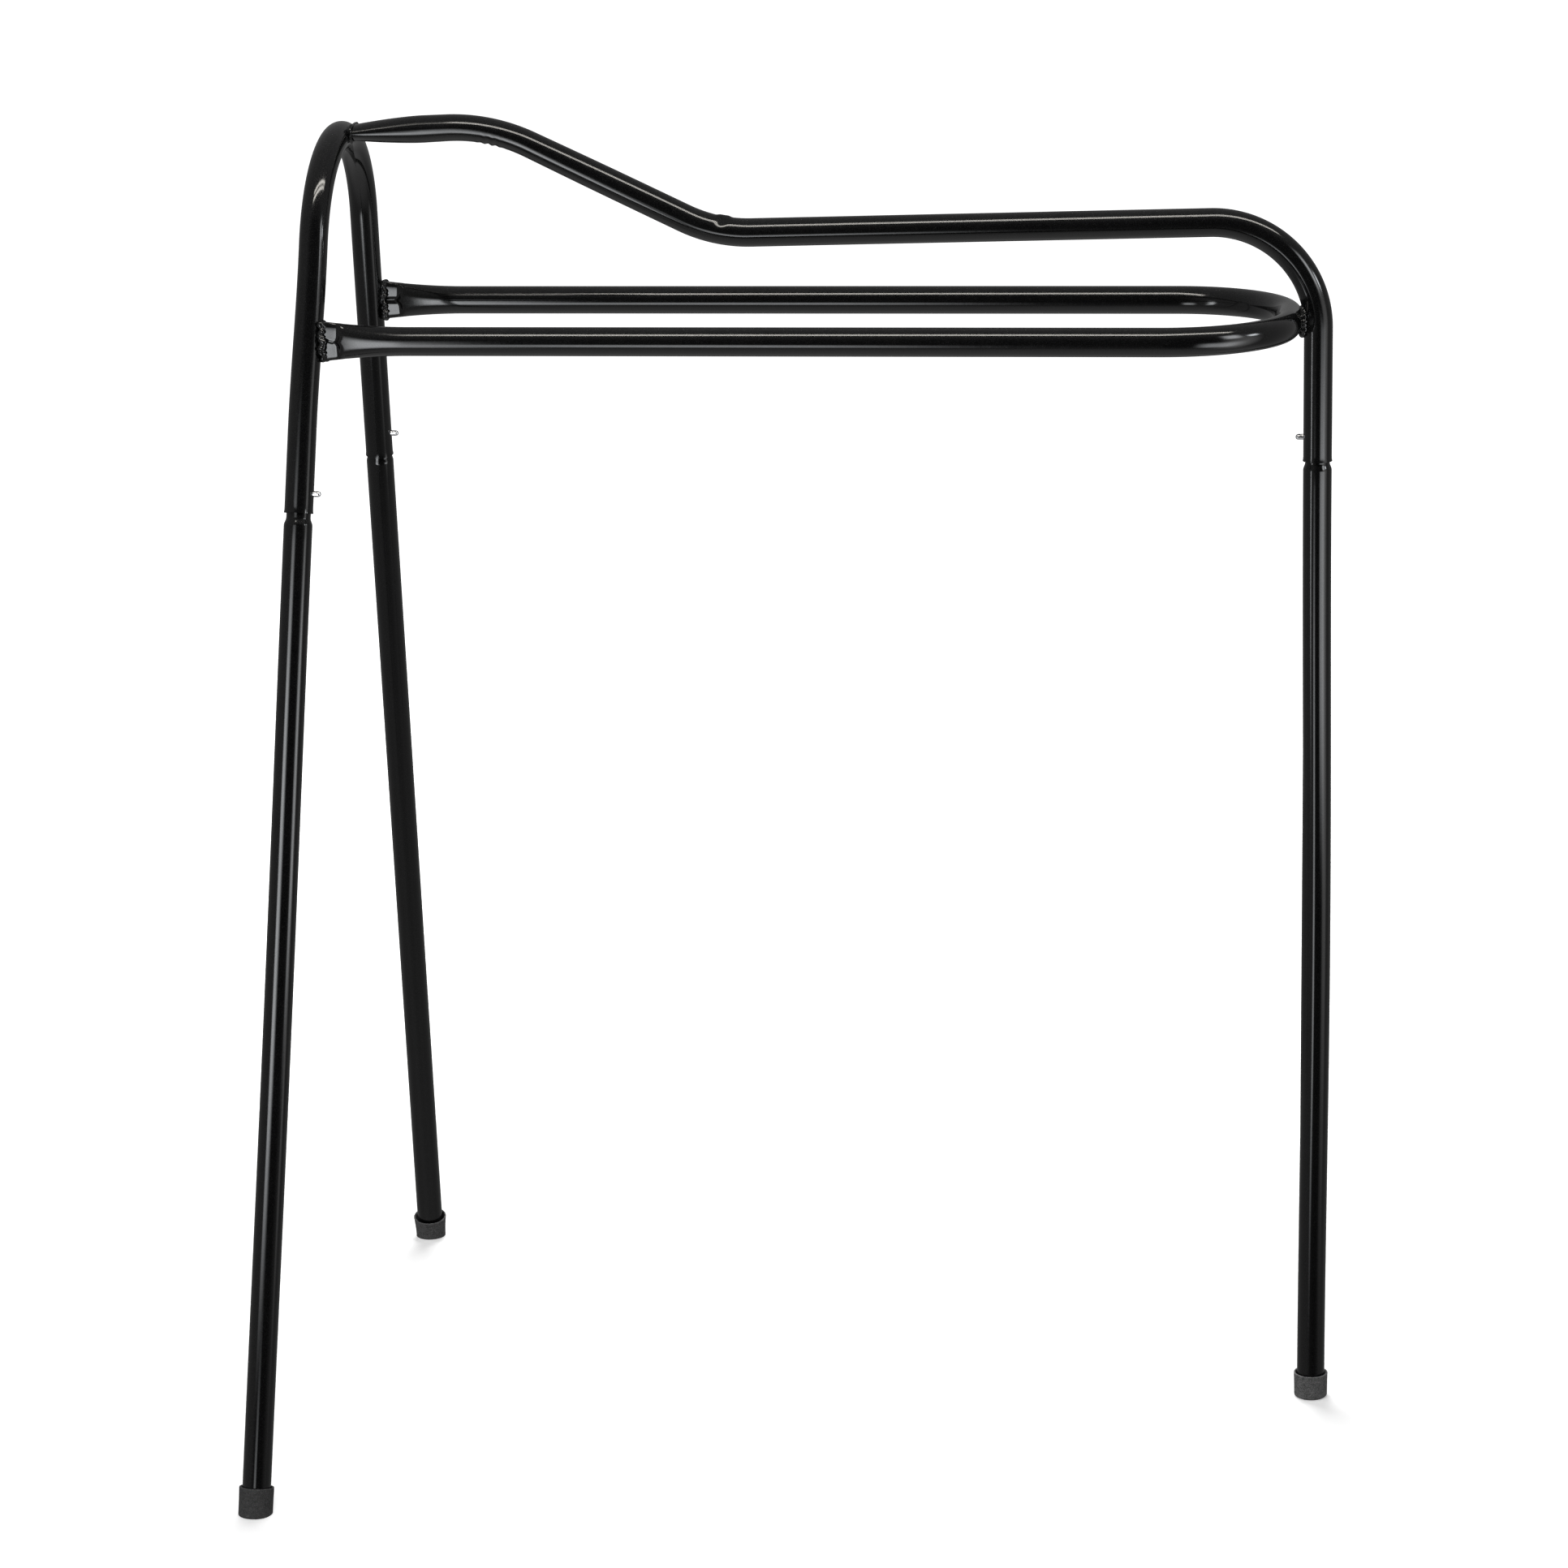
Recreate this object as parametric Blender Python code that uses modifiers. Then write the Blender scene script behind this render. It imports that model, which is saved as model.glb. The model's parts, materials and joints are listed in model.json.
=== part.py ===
"""Knock-down three-legged saddle stand, built in metres with +Z up.

+X runs from the front arch to the rear post, +Y is the stand's right side.
The origin is on the floor under the middle of the stand's overall box.
"""
import math

import bmesh
import bpy
from mathutils import Matrix, Vector

# ---- tube stock ----
TUBE_R = 0.009525          # three-quarter inch round tube
WALL = 0.0011
TUBE_BORE_R = TUBE_R - WALL
GAP = 0.0003               # air left between pieces that touch on the real stand
WELD_AIR = 0.00015         # air between a weld bead and the tubes it joins
SIDES = 8                  # curve bevel resolution, gives 20 flats round a tube
TURN_STEPS = 20            # steps round a turned piece

# ---- where the stand meets the floor ----
POST_X = 0.34345
FRONT_FOOT_X = -0.34357
FOOT_HALF_WIDTH = 0.2714
LEAN = 0.0344              # arch leans back by this much per unit of height
SPLAY = 0.2374             # each front leg closes in by this much per unit of height

# ---- front arch ----
ARCH_BEND_R = 0.0790
ARCH_BEND_STEPS = 18
ARCH_SET = 0.0021          # the arch's left side is bent back this far out of its plane
ARCH_SET_Z = (0.70, 0.81)  # heights where that bend starts and is complete
ARCH_SET_Y = (0.09, -0.03)  # over the top of the arch it fades out between these
SOCKET_LEFT_Z = 0.6451
SOCKET_RIGHT_Z = 0.6420

# ---- top rail and rear post ----
RAIL_START_Z = 0.8821
RAIL_CREST = (-0.2081, 0.8864)
RAIL_DIP = (-0.0569, 0.8140)
RAIL_CORNER_Z = 0.8218
RAIL_BEND_R = (0.118, 0.100, 0.0695)
RAIL_BEND_STEPS = (6, 6, 9)
SOCKET_REAR_Z = 0.6620
RAIL_PINCH_HIGH = 0.0105
RAIL_PINCH_WIDE = 0.0235
RAIL_PINCH_FLAT = 0.002
RAIL_PINCH_END = 0.050
RAIL_PINCH_FADE = 1.5      # how quickly the pinched end turns round again

# ---- side rail loop ----
LOOP_Z = 0.7555
LOOP_HALF_WIDTH = 0.0930
LOOP_BEND_R = 0.0785
LOOP_BEND_STEPS = 9
LOOP_PRESS_HIGH = 0.0262
LOOP_PRESS_WIDE = 0.0068
LOOP_PRESS_END = 0.046
LOOP_PRESS_FADE = 1.3      # how quickly the pressed end turns round again
LOOP_TO_ARCH = 0.0018      # space between the loop's end and the arch, filled by the weld
LOOP_TO_POST = 0.0007      # air between the loop and the post, filled by the weld

# ---- lower legs ----
LEG_SHOULDER_FRONT_Z = 0.6387
LEG_SHOULDER_REAR_Z = 0.6576
NECK_R = TUBE_BORE_R - GAP
NECK_BORE_R = NECK_R - WALL
SHOULDER_RISE = 0.0029
NECK_LENGTH = 0.046
LEG_FOOT_FRONT = 0.0050    # tube end above the floor, measured along the leg
LEG_FOOT_REAR = 0.0030

# ---- snap buttons and their springs ----
BUTTON_FRONT_Z = 0.6578
BUTTON_REAR_Z = 0.6780
PIN_R = 0.0020
PIN_HOLE_R = 0.0023
PIN_TIP = TUBE_R + 0.0054
FLANGE_R = 0.00325
FLANGE_INNER = 0.0051
FLANGE_OUTER = 0.0059
SPRING_THICK = 0.0005
SPRING_WIDE = 0.0050

# ---- rubber foot caps ----
CAP_HIGH = 0.0177
CAP_SOLE = 0.0023          # rubber between the leg's end and the floor, on the rear leg
CAP_CORNER_R = 0.0018
CAP_SIZES = {              # radius of the cup, radius of its rim
    "front_left": (0.01145, 0.01165),
    "front_right": (0.01120, 0.01240),
    "rear": (0.01145, 0.01175),
}

# ---- weld beads ----
BEAD_R = 0.0023
BEAD_SHIFT = 0.0004        # a bead sits this far past the end of the tube it goes round
BEAD_POST_R = 0.0026
BEAD_POST_WIDE = 0.0062
BEAD_POST_HIGH = 0.0080
BEAD_STEPS = 20

LEFT = -1.0
RIGHT = 1.0


def clear_file():
    for obj in list(bpy.data.objects):
        bpy.data.objects.remove(obj, do_unlink=True)
    for block in list(bpy.data.collections):
        bpy.data.collections.remove(block)


def new_collection(name):
    group = bpy.data.collections.new(name)
    bpy.context.scene.collection.children.link(group)
    return group


def principled(name, colour, metallic, roughness, coat=0.0):
    mat = bpy.data.materials.new(name)
    mat.use_nodes = True
    shader = mat.node_tree.nodes["Principled BSDF"]
    shader.inputs["Base Color"].default_value = colour
    shader.inputs["Metallic"].default_value = metallic
    shader.inputs["Roughness"].default_value = roughness
    shader.inputs["Coat Weight"].default_value = coat
    return mat


def black_paint(name):
    return principled(name, (0.012, 0.012, 0.013, 1.0), 0.0, 0.28, 0.6)


def chrome(name):
    return principled(name, (0.80, 0.81, 0.83, 1.0), 1.0, 0.12)


def spring_steel(name):
    return principled(name, (0.42, 0.43, 0.45, 1.0), 1.0, 0.35)


def dark_rubber(name):
    return principled(name, (0.035, 0.035, 0.037, 1.0), 0.0, 0.75)


# ---------------------------------------------------------------- paths

def arch_point(side, z):
    return Vector((FRONT_FOOT_X + LEAN * z, side * (FOOT_HALF_WIDTH - SPLAY * z), z))


def set_back(point):
    """The point moved by as much as the arch's left side is bent out of its plane there."""
    low, high = ARCH_SET_Z
    inner, outer = ARCH_SET_Y
    rise = min(max((point.z - low) / (high - low), 0.0), 1.0)
    across = min(max((inner - point.y) / (inner - outer), 0.0), 1.0)
    across = across * across * (3.0 - 2.0 * across)
    return point + Vector((ARCH_SET * rise * across, 0.0, 0.0))


def rounded(corners, radii, steps):
    """Centreline through the corners, each inner corner rounded to its radius."""
    out = [corners[0].copy()]
    for index in range(1, len(corners) - 1):
        here = corners[index]
        back = (corners[index - 1] - here).normalized()
        ahead = (corners[index + 1] - here).normalized()
        half = back.angle(ahead) / 2.0
        radius = radii[index - 1]
        centre = here + (back + ahead).normalized() * (radius / math.sin(half))
        start = here + back * (radius / math.tan(half))
        sweep = math.pi - 2.0 * half
        axis = back.cross(ahead).normalized()
        count = steps[index - 1]
        for step in range(count + 1):
            turn = Matrix.Rotation(-sweep * step / count, 3, axis)
            out.append(centre + turn @ (start - centre))
    out.append(corners[-1].copy())
    return out


def stations(path, reach, count):
    """Extra points along the first straight, for a stretch that is pressed flat."""
    start = path[0]
    along = (path[1] - start).normalized()
    extra = [start + along * (reach * step / count) for step in range(1, count + 1)]
    return [start] + extra + path[1:]


def arch_path():
    apex = arch_point(LEFT, FOOT_HALF_WIDTH / SPLAY)
    corners = [arch_point(LEFT, SOCKET_LEFT_Z), apex, arch_point(RIGHT, SOCKET_RIGHT_Z)]
    path = rounded(corners, [ARCH_BEND_R], [ARCH_BEND_STEPS])
    bends = [arch_point(LEFT, height) for height in ARCH_SET_Z if height < path[1].z]
    return [set_back(point) for point in path[:1] + bends + path[1:]]


def arch_top():
    """Centreline point at the top of the arch."""
    path = arch_path()
    return max(path, key=lambda point: point.z)


def rail_start():
    return Vector((arch_top().x + TUBE_R + GAP, 0.0, RAIL_START_Z))


def rail_path():
    corners = [
        rail_start(),
        Vector((RAIL_CREST[0], 0.0, RAIL_CREST[1])),
        Vector((RAIL_DIP[0], 0.0, RAIL_DIP[1])),
        Vector((POST_X, 0.0, RAIL_CORNER_Z)),
        Vector((POST_X, 0.0, SOCKET_REAR_Z)),
    ]
    path = rounded(corners, RAIL_BEND_R, RAIL_BEND_STEPS)
    return stations(path, RAIL_PINCH_END, 7)


def loop_front(side):
    """How far forward the loop reaches on that side, just clear of the arch."""
    return set_back(arch_point(side, LOOP_Z)).x + TUBE_R + LOOP_TO_ARCH


def loop_path():
    back = POST_X - 2.0 * TUBE_R - LOOP_TO_POST
    corners = [
        Vector((loop_front(LEFT), LEFT * LOOP_HALF_WIDTH, LOOP_Z)),
        Vector((back, LEFT * LOOP_HALF_WIDTH, LOOP_Z)),
        Vector((back, RIGHT * LOOP_HALF_WIDTH, LOOP_Z)),
        Vector((loop_front(RIGHT), RIGHT * LOOP_HALF_WIDTH, LOOP_Z)),
    ]
    steps = [LOOP_BEND_STEPS, LOOP_BEND_STEPS]
    path = rounded(corners, [LOOP_BEND_R, LOOP_BEND_R], steps)
    path = stations(path, LOOP_PRESS_END, 7)
    path.reverse()
    return stations(path, LOOP_PRESS_END, 7)


# ---------------------------------------------------------------- shapes

def finish(obj, material, angle=35.0):
    mesh = obj.data
    mesh.materials.clear()
    mesh.materials.append(material)
    mesh.polygons.foreach_set("use_smooth", [True] * len(mesh.polygons))
    mesh.set_sharp_from_angle(angle=math.radians(angle))
    return obj


def tube_along(name, path, radius, group, caps, cyclic=False, resolution=SIDES):
    """Round tube or rod along a path, made as a curve and turned into a mesh."""
    curve = bpy.data.curves.new(name + "_path", "CURVE")
    curve.dimensions = "3D"
    curve.bevel_depth = radius
    curve.bevel_resolution = resolution
    curve.use_fill_caps = caps
    spline = curve.splines.new("POLY")
    spline.points.add(len(path) - 1)
    for point, place in zip(spline.points, path):
        point.co = (place.x, place.y, place.z, 1.0)
    spline.use_cyclic_u = cyclic
    source = bpy.data.objects.new(name + "_path", curve)
    bpy.context.scene.collection.objects.link(source)
    bpy.context.view_layer.update()
    evaluated = source.evaluated_get(bpy.context.evaluated_depsgraph_get())
    mesh = bpy.data.meshes.new_from_object(evaluated)
    mesh.name = name
    made = bpy.data.objects.new(name, mesh)
    made.matrix_world = source.matrix_world.copy()
    bpy.data.objects.remove(source, do_unlink=True)
    bpy.data.curves.remove(curve)
    work = bmesh.new()
    work.from_mesh(mesh)
    bmesh.ops.remove_doubles(work, verts=work.verts, dist=1e-6)
    bmesh.ops.recalc_face_normals(work, faces=work.faces)
    work.to_mesh(mesh)
    work.free()
    group.objects.link(made)
    return made


def press(obj, start, along, full, reach, fade, tall, tall_scale, thin_scale):
    """Squeeze the end of a tube: thinner one way and wider the other.

    The squeeze falls off by the power given as fade.
    """
    thin = along.cross(tall).normalized()
    for vert in obj.data.vertices:
        offset = vert.co - start
        travel = offset.dot(along)
        if travel > reach + 1e-6 or abs(offset.dot(thin)) > 0.03:
            continue
        share = min(max((reach - travel) / (reach - full), 0.0), 1.0) ** fade
        high = offset.dot(tall) * (1.0 + (tall_scale - 1.0) * share)
        wide = offset.dot(thin) * (1.0 + (thin_scale - 1.0) * share)
        vert.co = start + along * travel + tall * high + thin * wide


def press_rail(obj, extra):
    path = rail_path()
    along = (path[1] - path[0]).normalized()
    side = Vector((0.0, 1.0, 0.0))
    round_size = 2.0 * (TUBE_R + extra)
    wide = (RAIL_PINCH_WIDE + 2.0 * extra) / round_size
    high = (RAIL_PINCH_HIGH + 2.0 * extra) / round_size
    press(obj, path[0], along, RAIL_PINCH_FLAT, RAIL_PINCH_END, RAIL_PINCH_FADE, side, wide, high)


def press_loop(obj, extra):
    path = loop_path()
    up = Vector((0.0, 0.0, 1.0))
    round_size = 2.0 * (TUBE_R + extra)
    high = (LOOP_PRESS_HIGH + 2.0 * extra) / round_size
    thin = (LOOP_PRESS_WIDE + 2.0 * extra) / round_size
    for end in (path[0], path[-1]):
        along = Vector((1.0, 0.0, 0.0))
        press(obj, end, along, 0.0, LOOP_PRESS_END, LOOP_PRESS_FADE, up, high, thin)


def hollow(obj):
    """Give a swept tube skin its wall, inwards, with its ends left open."""
    wall = obj.modifiers.new("wall", "SOLIDIFY")
    wall.thickness = WALL
    wall.offset = -1.0
    wall.use_even_offset = True
    wall.use_rim = True


def cut(obj, cutter, name):
    boolean = obj.modifiers.new(name, "BOOLEAN")
    boolean.operation = "DIFFERENCE"
    boolean.solver = "EXACT"
    boolean.object = cutter
    cutter.hide_render = True
    cutter.display_type = "WIRE"


def turned(name, profile, axis, closed, group):
    """Piece turned about its own axis from a profile of (radius, height) pairs."""
    mesh = bpy.data.meshes.new(name)
    work = bmesh.new()
    verts = []
    for radius, height in profile:
        place = (radius, 0.0, height) if axis == "Z" else (height, 0.0, radius)
        verts.append(work.verts.new(place))
    for first, second in zip(verts, verts[1:]):
        work.edges.new((first, second))
    if closed:
        work.edges.new((verts[-1], verts[0]))
    work.to_mesh(mesh)
    work.free()
    obj = bpy.data.objects.new(name, mesh)
    group.objects.link(obj)
    screw = obj.modifiers.new("turn", "SCREW")
    screw.axis = axis
    screw.angle = 2.0 * math.pi
    screw.steps = TURN_STEPS
    screw.render_steps = TURN_STEPS
    screw.use_merge_vertices = True
    screw.merge_threshold = 1e-5
    screw.use_normal_calculate = True
    bpy.context.view_layer.update()
    evaluated = obj.evaluated_get(bpy.context.evaluated_depsgraph_get())
    solid = bpy.data.meshes.new_from_object(evaluated)
    obj.modifiers.remove(screw)
    obj.data = solid
    bpy.data.meshes.remove(mesh)
    solid.name = name
    work = bmesh.new()
    work.from_mesh(solid)
    bmesh.ops.remove_doubles(work, verts=work.verts, dist=1e-6)
    bmesh.ops.recalc_face_normals(work, faces=work.faces)
    work.to_mesh(solid)
    work.free()
    return obj


def placement(origin, up, facing):
    """Local +Z along up, local +X as near to facing as it can be."""
    side = up.cross(facing).normalized()
    front = side.cross(up).normalized()
    turn = Matrix((front, side, up)).transposed().to_4x4()
    return Matrix.Translation(origin) @ turn


# ---------------------------------------------------------------- legs

def leg_layout():
    """Per leg: name, floor point, upward direction, facing, heights along the leg."""
    out = []
    for name, side in (("front_left", LEFT), ("front_right", RIGHT)):
        floor = arch_point(side, 0.0)
        up = (arch_point(side, 1.0) - floor).normalized()
        out.append({
            "name": name,
            "floor": floor,
            "up": up,
            "facing": Vector((1.0, 0.0, 0.0)),
            "foot": LEG_FOOT_FRONT,
            "shoulder": LEG_SHOULDER_FRONT_Z / up.z,
            "button": BUTTON_FRONT_Z / up.z,
        })
    out.append({
        "name": "rear",
        "floor": Vector((POST_X, 0.0, 0.0)),
        "up": Vector((0.0, 0.0, 1.0)),
        "facing": Vector((-1.0, 0.0, 0.0)),
        "foot": LEG_FOOT_REAR,
        "shoulder": LEG_SHOULDER_REAR_Z,
        "button": BUTTON_REAR_Z,
    })
    return out


def at_button(leg):
    return placement(leg["floor"] + leg["up"] * leg["button"], leg["up"], leg["facing"])


def pin_hole(name, leg, cutters):
    """Cutter for a snap button's hole, through the wall on the button's side only."""
    hole = turned(name, [
        (0.0, NECK_BORE_R - 0.0020),
        (PIN_HOLE_R, NECK_BORE_R - 0.0020),
        (PIN_HOLE_R, TUBE_R + 0.0030),
        (0.0, TUBE_R + 0.0030),
    ], "X", False, cutters)
    hole.matrix_world = at_button(leg)
    return hole


def build_leg(leg, group, cutters):
    shoulder = leg["shoulder"]
    neck = shoulder + SHOULDER_RISE
    top = neck + NECK_LENGTH
    base = shoulder - 0.010    # local origin sits on the leg's own sliding axis
    outer = [
        (TUBE_R, leg["foot"]),
        (TUBE_R, shoulder),
        (TUBE_R - 0.00018, shoulder + 0.0006),
        (TUBE_R - 0.00070, shoulder + 0.0015),
        (NECK_R + 0.00022, shoulder + 0.0023),
        (NECK_R, neck),
        (NECK_R, top - 0.0006),
        (NECK_R - 0.0004, top),
    ]
    inner = [
        (NECK_BORE_R, top),
        (NECK_BORE_R, neck - 0.0003),
        (TUBE_BORE_R, shoulder - 0.0008),
        (TUBE_BORE_R, leg["foot"]),
    ]
    profile = [(radius, height - base) for radius, height in outer + inner]
    obj = turned("leg_" + leg["name"], profile, "Z", True, group)
    obj.matrix_world = placement(leg["floor"] + leg["up"] * base, leg["up"], leg["facing"])
    cut(obj, pin_hole("cut_neck_" + leg["name"], leg, cutters), "button_hole")
    return finish(obj, black_paint("paint_leg_" + leg["name"]))


def build_cap(leg, group, cutters):
    tilted = leg["up"].z < 0.999
    bottom = -0.0030 if tilted else 0.0
    floor = leg["foot"] - GAP if tilted else CAP_SOLE
    cup, rim = CAP_SIZES[leg["name"]]
    outer = [(0.0, bottom), (cup - CAP_CORNER_R, bottom)]
    for step in range(1, 5):
        turn = math.pi / 2.0 * step / 4
        outer.append((cup - CAP_CORNER_R * (1.0 - math.sin(turn)),
                      bottom + CAP_CORNER_R * (1.0 - math.cos(turn))))
    outer += [
        (cup, CAP_HIGH - 0.0090),
        (rim - 0.00015, CAP_HIGH - 0.0030),
        (rim, CAP_HIGH - 0.0010),
        (rim - 0.0004, CAP_HIGH),
        (rim - 0.0011, CAP_HIGH),
        (rim - 0.0013, CAP_HIGH - 0.0020),
        (TUBE_R + GAP, CAP_HIGH - 0.0090),
        (TUBE_R + GAP, floor),
        (0.0, floor),
    ]
    obj = turned("foot_cap_" + leg["name"], outer, "Z", False, group)
    obj.matrix_world = placement(leg["floor"], leg["up"], leg["facing"])
    if tilted:
        bpy.ops.mesh.primitive_cube_add(size=0.06, location=leg["floor"] - Vector((0, 0, 0.03)))
        floor_box = bpy.context.active_object
        floor_box.name = "cut_floor_" + leg["name"]
        bpy.context.collection.objects.unlink(floor_box)
        cutters.objects.link(floor_box)
        cut(obj, floor_box, "ground_flat")
    return finish(obj, dark_rubber("rubber_" + leg["name"]), 40.0)


def build_button(leg, group):
    profile = [
        (0.0, FLANGE_INNER),
        (FLANGE_R, FLANGE_INNER),
        (FLANGE_R, FLANGE_OUTER),
        (PIN_R, FLANGE_OUTER),
    ]
    for step in range(0, 6):
        turn = math.pi / 2.0 * step / 5
        profile.append((PIN_R * math.cos(turn), PIN_TIP - PIN_R + PIN_R * math.sin(turn)))
    profile[-1] = (0.0, PIN_TIP)
    obj = turned("snap_button_" + leg["name"], profile, "X", False, group)
    obj.matrix_world = at_button(leg)
    return finish(obj, chrome("chrome_" + leg["name"]))


def build_spring(leg, group):
    """Bent strip: a pad behind the button, a slanting arm, a bend and a back arm."""
    line = [
        (0.00455, 0.0040),
        (0.00455, -0.0036),
        (0.00300, -0.0100),
        (-0.00300, -0.0290),
        (-0.00410, -0.0318),
        (-0.00500, -0.0326),
        (-0.00560, -0.0314),
        (-0.00585, -0.0280),
        (-0.00585, 0.0070),
    ]
    mesh = bpy.data.meshes.new("snap_spring_" + leg["name"])
    work = bmesh.new()
    verts = [work.verts.new((x, -SPRING_WIDE / 2.0, z)) for x, z in line]
    edges = [work.edges.new(pair) for pair in zip(verts, verts[1:])]
    made = bmesh.ops.extrude_edge_only(work, edges=edges)
    moved = [item for item in made["geom"] if isinstance(item, bmesh.types.BMVert)]
    bmesh.ops.translate(work, verts=moved, vec=(0.0, SPRING_WIDE, 0.0))
    work.to_mesh(mesh)
    work.free()
    obj = bpy.data.objects.new("snap_spring_" + leg["name"], mesh)
    group.objects.link(obj)
    obj.matrix_world = at_button(leg)
    strip = obj.modifiers.new("strip", "SOLIDIFY")
    strip.thickness = SPRING_THICK
    strip.offset = 0.0
    strip.use_even_offset = True
    return finish(obj, spring_steel("spring_" + leg["name"]))


# ---------------------------------------------------------------- frame

def longer(path, extra):
    """The path with both ends drawn out by that much."""
    first = path[0] + (path[0] - path[1]).normalized() * extra
    last = path[-1] + (path[-1] - path[-2]).normalized() * extra
    return [first] + path[1:-1] + [last]


def solid_arch(name, extra, cutters):
    return tube_along(name, arch_path(), TUBE_R + extra, cutters, True)


def solid_rail(name, extra, cutters):
    obj = tube_along(name, longer(rail_path(), extra), TUBE_R + extra, cutters, True)
    press_rail(obj, extra)
    return obj


def solid_loop(name, extra, cutters):
    obj = tube_along(name, longer(loop_path(), extra), TUBE_R + extra, cutters, True)
    press_loop(obj, extra)
    return obj


def build_frame_tubes(legs, group, cutters):
    arch = tube_along("front_arch", arch_path(), TUBE_R, group, False)
    hollow(arch)
    for leg in legs[:2]:
        hole = pin_hole("cut_socket_" + leg["name"], leg, cutters)
        cut(arch, hole, "button_hole_" + leg["name"])
    finish(arch, black_paint("paint_arch"))

    rail = tube_along("top_rail_post", rail_path(), TUBE_R, group, False)
    press_rail(rail, 0.0)
    hollow(rail)
    cut(rail, pin_hole("cut_socket_rear", legs[2], cutters), "button_hole_rear")
    finish(rail, black_paint("paint_rail"))

    loop = tube_along("side_rail_loop", loop_path(), TUBE_R, group, False)
    press_loop(loop, 0.0)
    hollow(loop)
    finish(loop, black_paint("paint_loop"))


def bead(name, centre, half_wide, half_high, group):
    """Weld bead round a slot shape with round ends, across Y and up Z."""
    end = min(half_wide, half_high)
    ring = []
    for step in range(BEAD_STEPS):
        turn = 2.0 * math.pi * (step + 0.5) / BEAD_STEPS
        wide = end * math.cos(turn) + math.copysign(half_wide - end, math.cos(turn))
        high = end * math.sin(turn) + math.copysign(half_high - end, math.sin(turn))
        ring.append(centre + Vector((0.0, wide, high)))
    radius = BEAD_POST_R if name == "weld_loop_post" else BEAD_R
    return tube_along(name, ring, radius, group, False, cyclic=True, resolution=2)


def build_welds(group, cutters):
    near_arch = solid_arch("cut_arch", WELD_AIR, cutters)
    near_rail = solid_rail("cut_rail", WELD_AIR, cutters)
    near_loop = solid_loop("cut_loop", WELD_AIR, cutters)

    obj = bead("weld_top_rail", rail_start() + Vector((BEAD_SHIFT, 0.0, 0.0)),
               RAIL_PINCH_WIDE / 2.0 + 0.0006, RAIL_PINCH_HIGH / 2.0, group)
    cut(obj, near_arch, "fit_arch")
    cut(obj, near_rail, "fit_rail")
    finish(obj, black_paint("paint_weld_top_rail"))

    for name, side in (("weld_loop_left", LEFT), ("weld_loop_right", RIGHT)):
        end = Vector((loop_front(side) - BEAD_SHIFT, side * LOOP_HALF_WIDTH, LOOP_Z))
        obj = bead(name, end, LOOP_PRESS_WIDE / 2.0 + 0.0008, LOOP_PRESS_HIGH / 2.0 - 0.0018,
                   group)
        cut(obj, near_arch, "fit_arch")
        cut(obj, near_loop, "fit_loop")
        finish(obj, black_paint("paint_" + name))

    touch = Vector((POST_X - TUBE_R - LOOP_TO_POST / 2.0, 0.0, LOOP_Z))
    obj = bead("weld_loop_post", touch, BEAD_POST_WIDE, BEAD_POST_HIGH, group)
    cut(obj, near_rail, "fit_rail")
    cut(obj, near_loop, "fit_loop")
    finish(obj, black_paint("paint_weld_loop_post"))


def main():
    clear_file()
    group = new_collection("saddle_stand")
    cutters = new_collection("saddle_stand_cutters")
    legs = leg_layout()
    build_frame_tubes(legs, group, cutters)
    build_welds(group, cutters)
    for leg in legs:
        build_leg(leg, group, cutters)
        build_cap(leg, group, cutters)
        build_button(leg, group)
        build_spring(leg, group)
    for obj in cutters.objects:
        obj.hide_render = True
        obj.display_type = "WIRE"
    bpy.context.view_layer.update()


main()
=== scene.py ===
"""Looks of the knock-down saddle stand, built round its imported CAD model.

Every CAD node is replaced by a finer piece that lies where the node lies: swept tubes with their
pressed and bent places, turned legs, rubber caps, snap buttons, springs and weld beads.
"""
import json
import math

import bmesh
import bpy
import numpy as np
from mathutils import Matrix, Vector, noise


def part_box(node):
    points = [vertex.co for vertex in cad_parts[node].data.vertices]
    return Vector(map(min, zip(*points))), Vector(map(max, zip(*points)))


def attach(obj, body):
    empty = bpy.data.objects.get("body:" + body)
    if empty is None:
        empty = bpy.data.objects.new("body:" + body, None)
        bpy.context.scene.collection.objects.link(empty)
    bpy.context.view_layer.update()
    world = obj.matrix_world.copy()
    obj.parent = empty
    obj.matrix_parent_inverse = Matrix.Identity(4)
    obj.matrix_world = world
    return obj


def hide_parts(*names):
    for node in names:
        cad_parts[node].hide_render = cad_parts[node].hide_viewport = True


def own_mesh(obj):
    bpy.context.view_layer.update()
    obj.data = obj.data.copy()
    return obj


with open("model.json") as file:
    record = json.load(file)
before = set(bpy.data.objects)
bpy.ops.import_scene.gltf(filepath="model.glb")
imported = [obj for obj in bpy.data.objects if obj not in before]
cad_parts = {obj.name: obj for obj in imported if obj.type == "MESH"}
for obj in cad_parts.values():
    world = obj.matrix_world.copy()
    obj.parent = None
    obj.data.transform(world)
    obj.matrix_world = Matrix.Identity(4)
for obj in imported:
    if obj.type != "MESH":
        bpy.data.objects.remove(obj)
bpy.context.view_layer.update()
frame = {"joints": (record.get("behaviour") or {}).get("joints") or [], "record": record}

# ---- read from the frame ----
LEFT = -1.0
RIGHT = 1.0
REAR_LOW, REAR_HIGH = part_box("leg_rear")
LOOP_LOW, LOOP_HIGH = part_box("side_rail_loop")
RAIL_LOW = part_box("top_rail_post")[0]
ARCH_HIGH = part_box("front_arch")[1]
TUBE_R = (REAR_HIGH.y - REAR_LOW.y) / 2.0
POST_X = (REAR_HIGH.x + REAR_LOW.x) / 2.0
LOOP_Z = (LOOP_HIGH.z + LOOP_LOW.z) / 2.0
LOOP_HALF_WIDTH = LOOP_HIGH.y - TUBE_R
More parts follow.
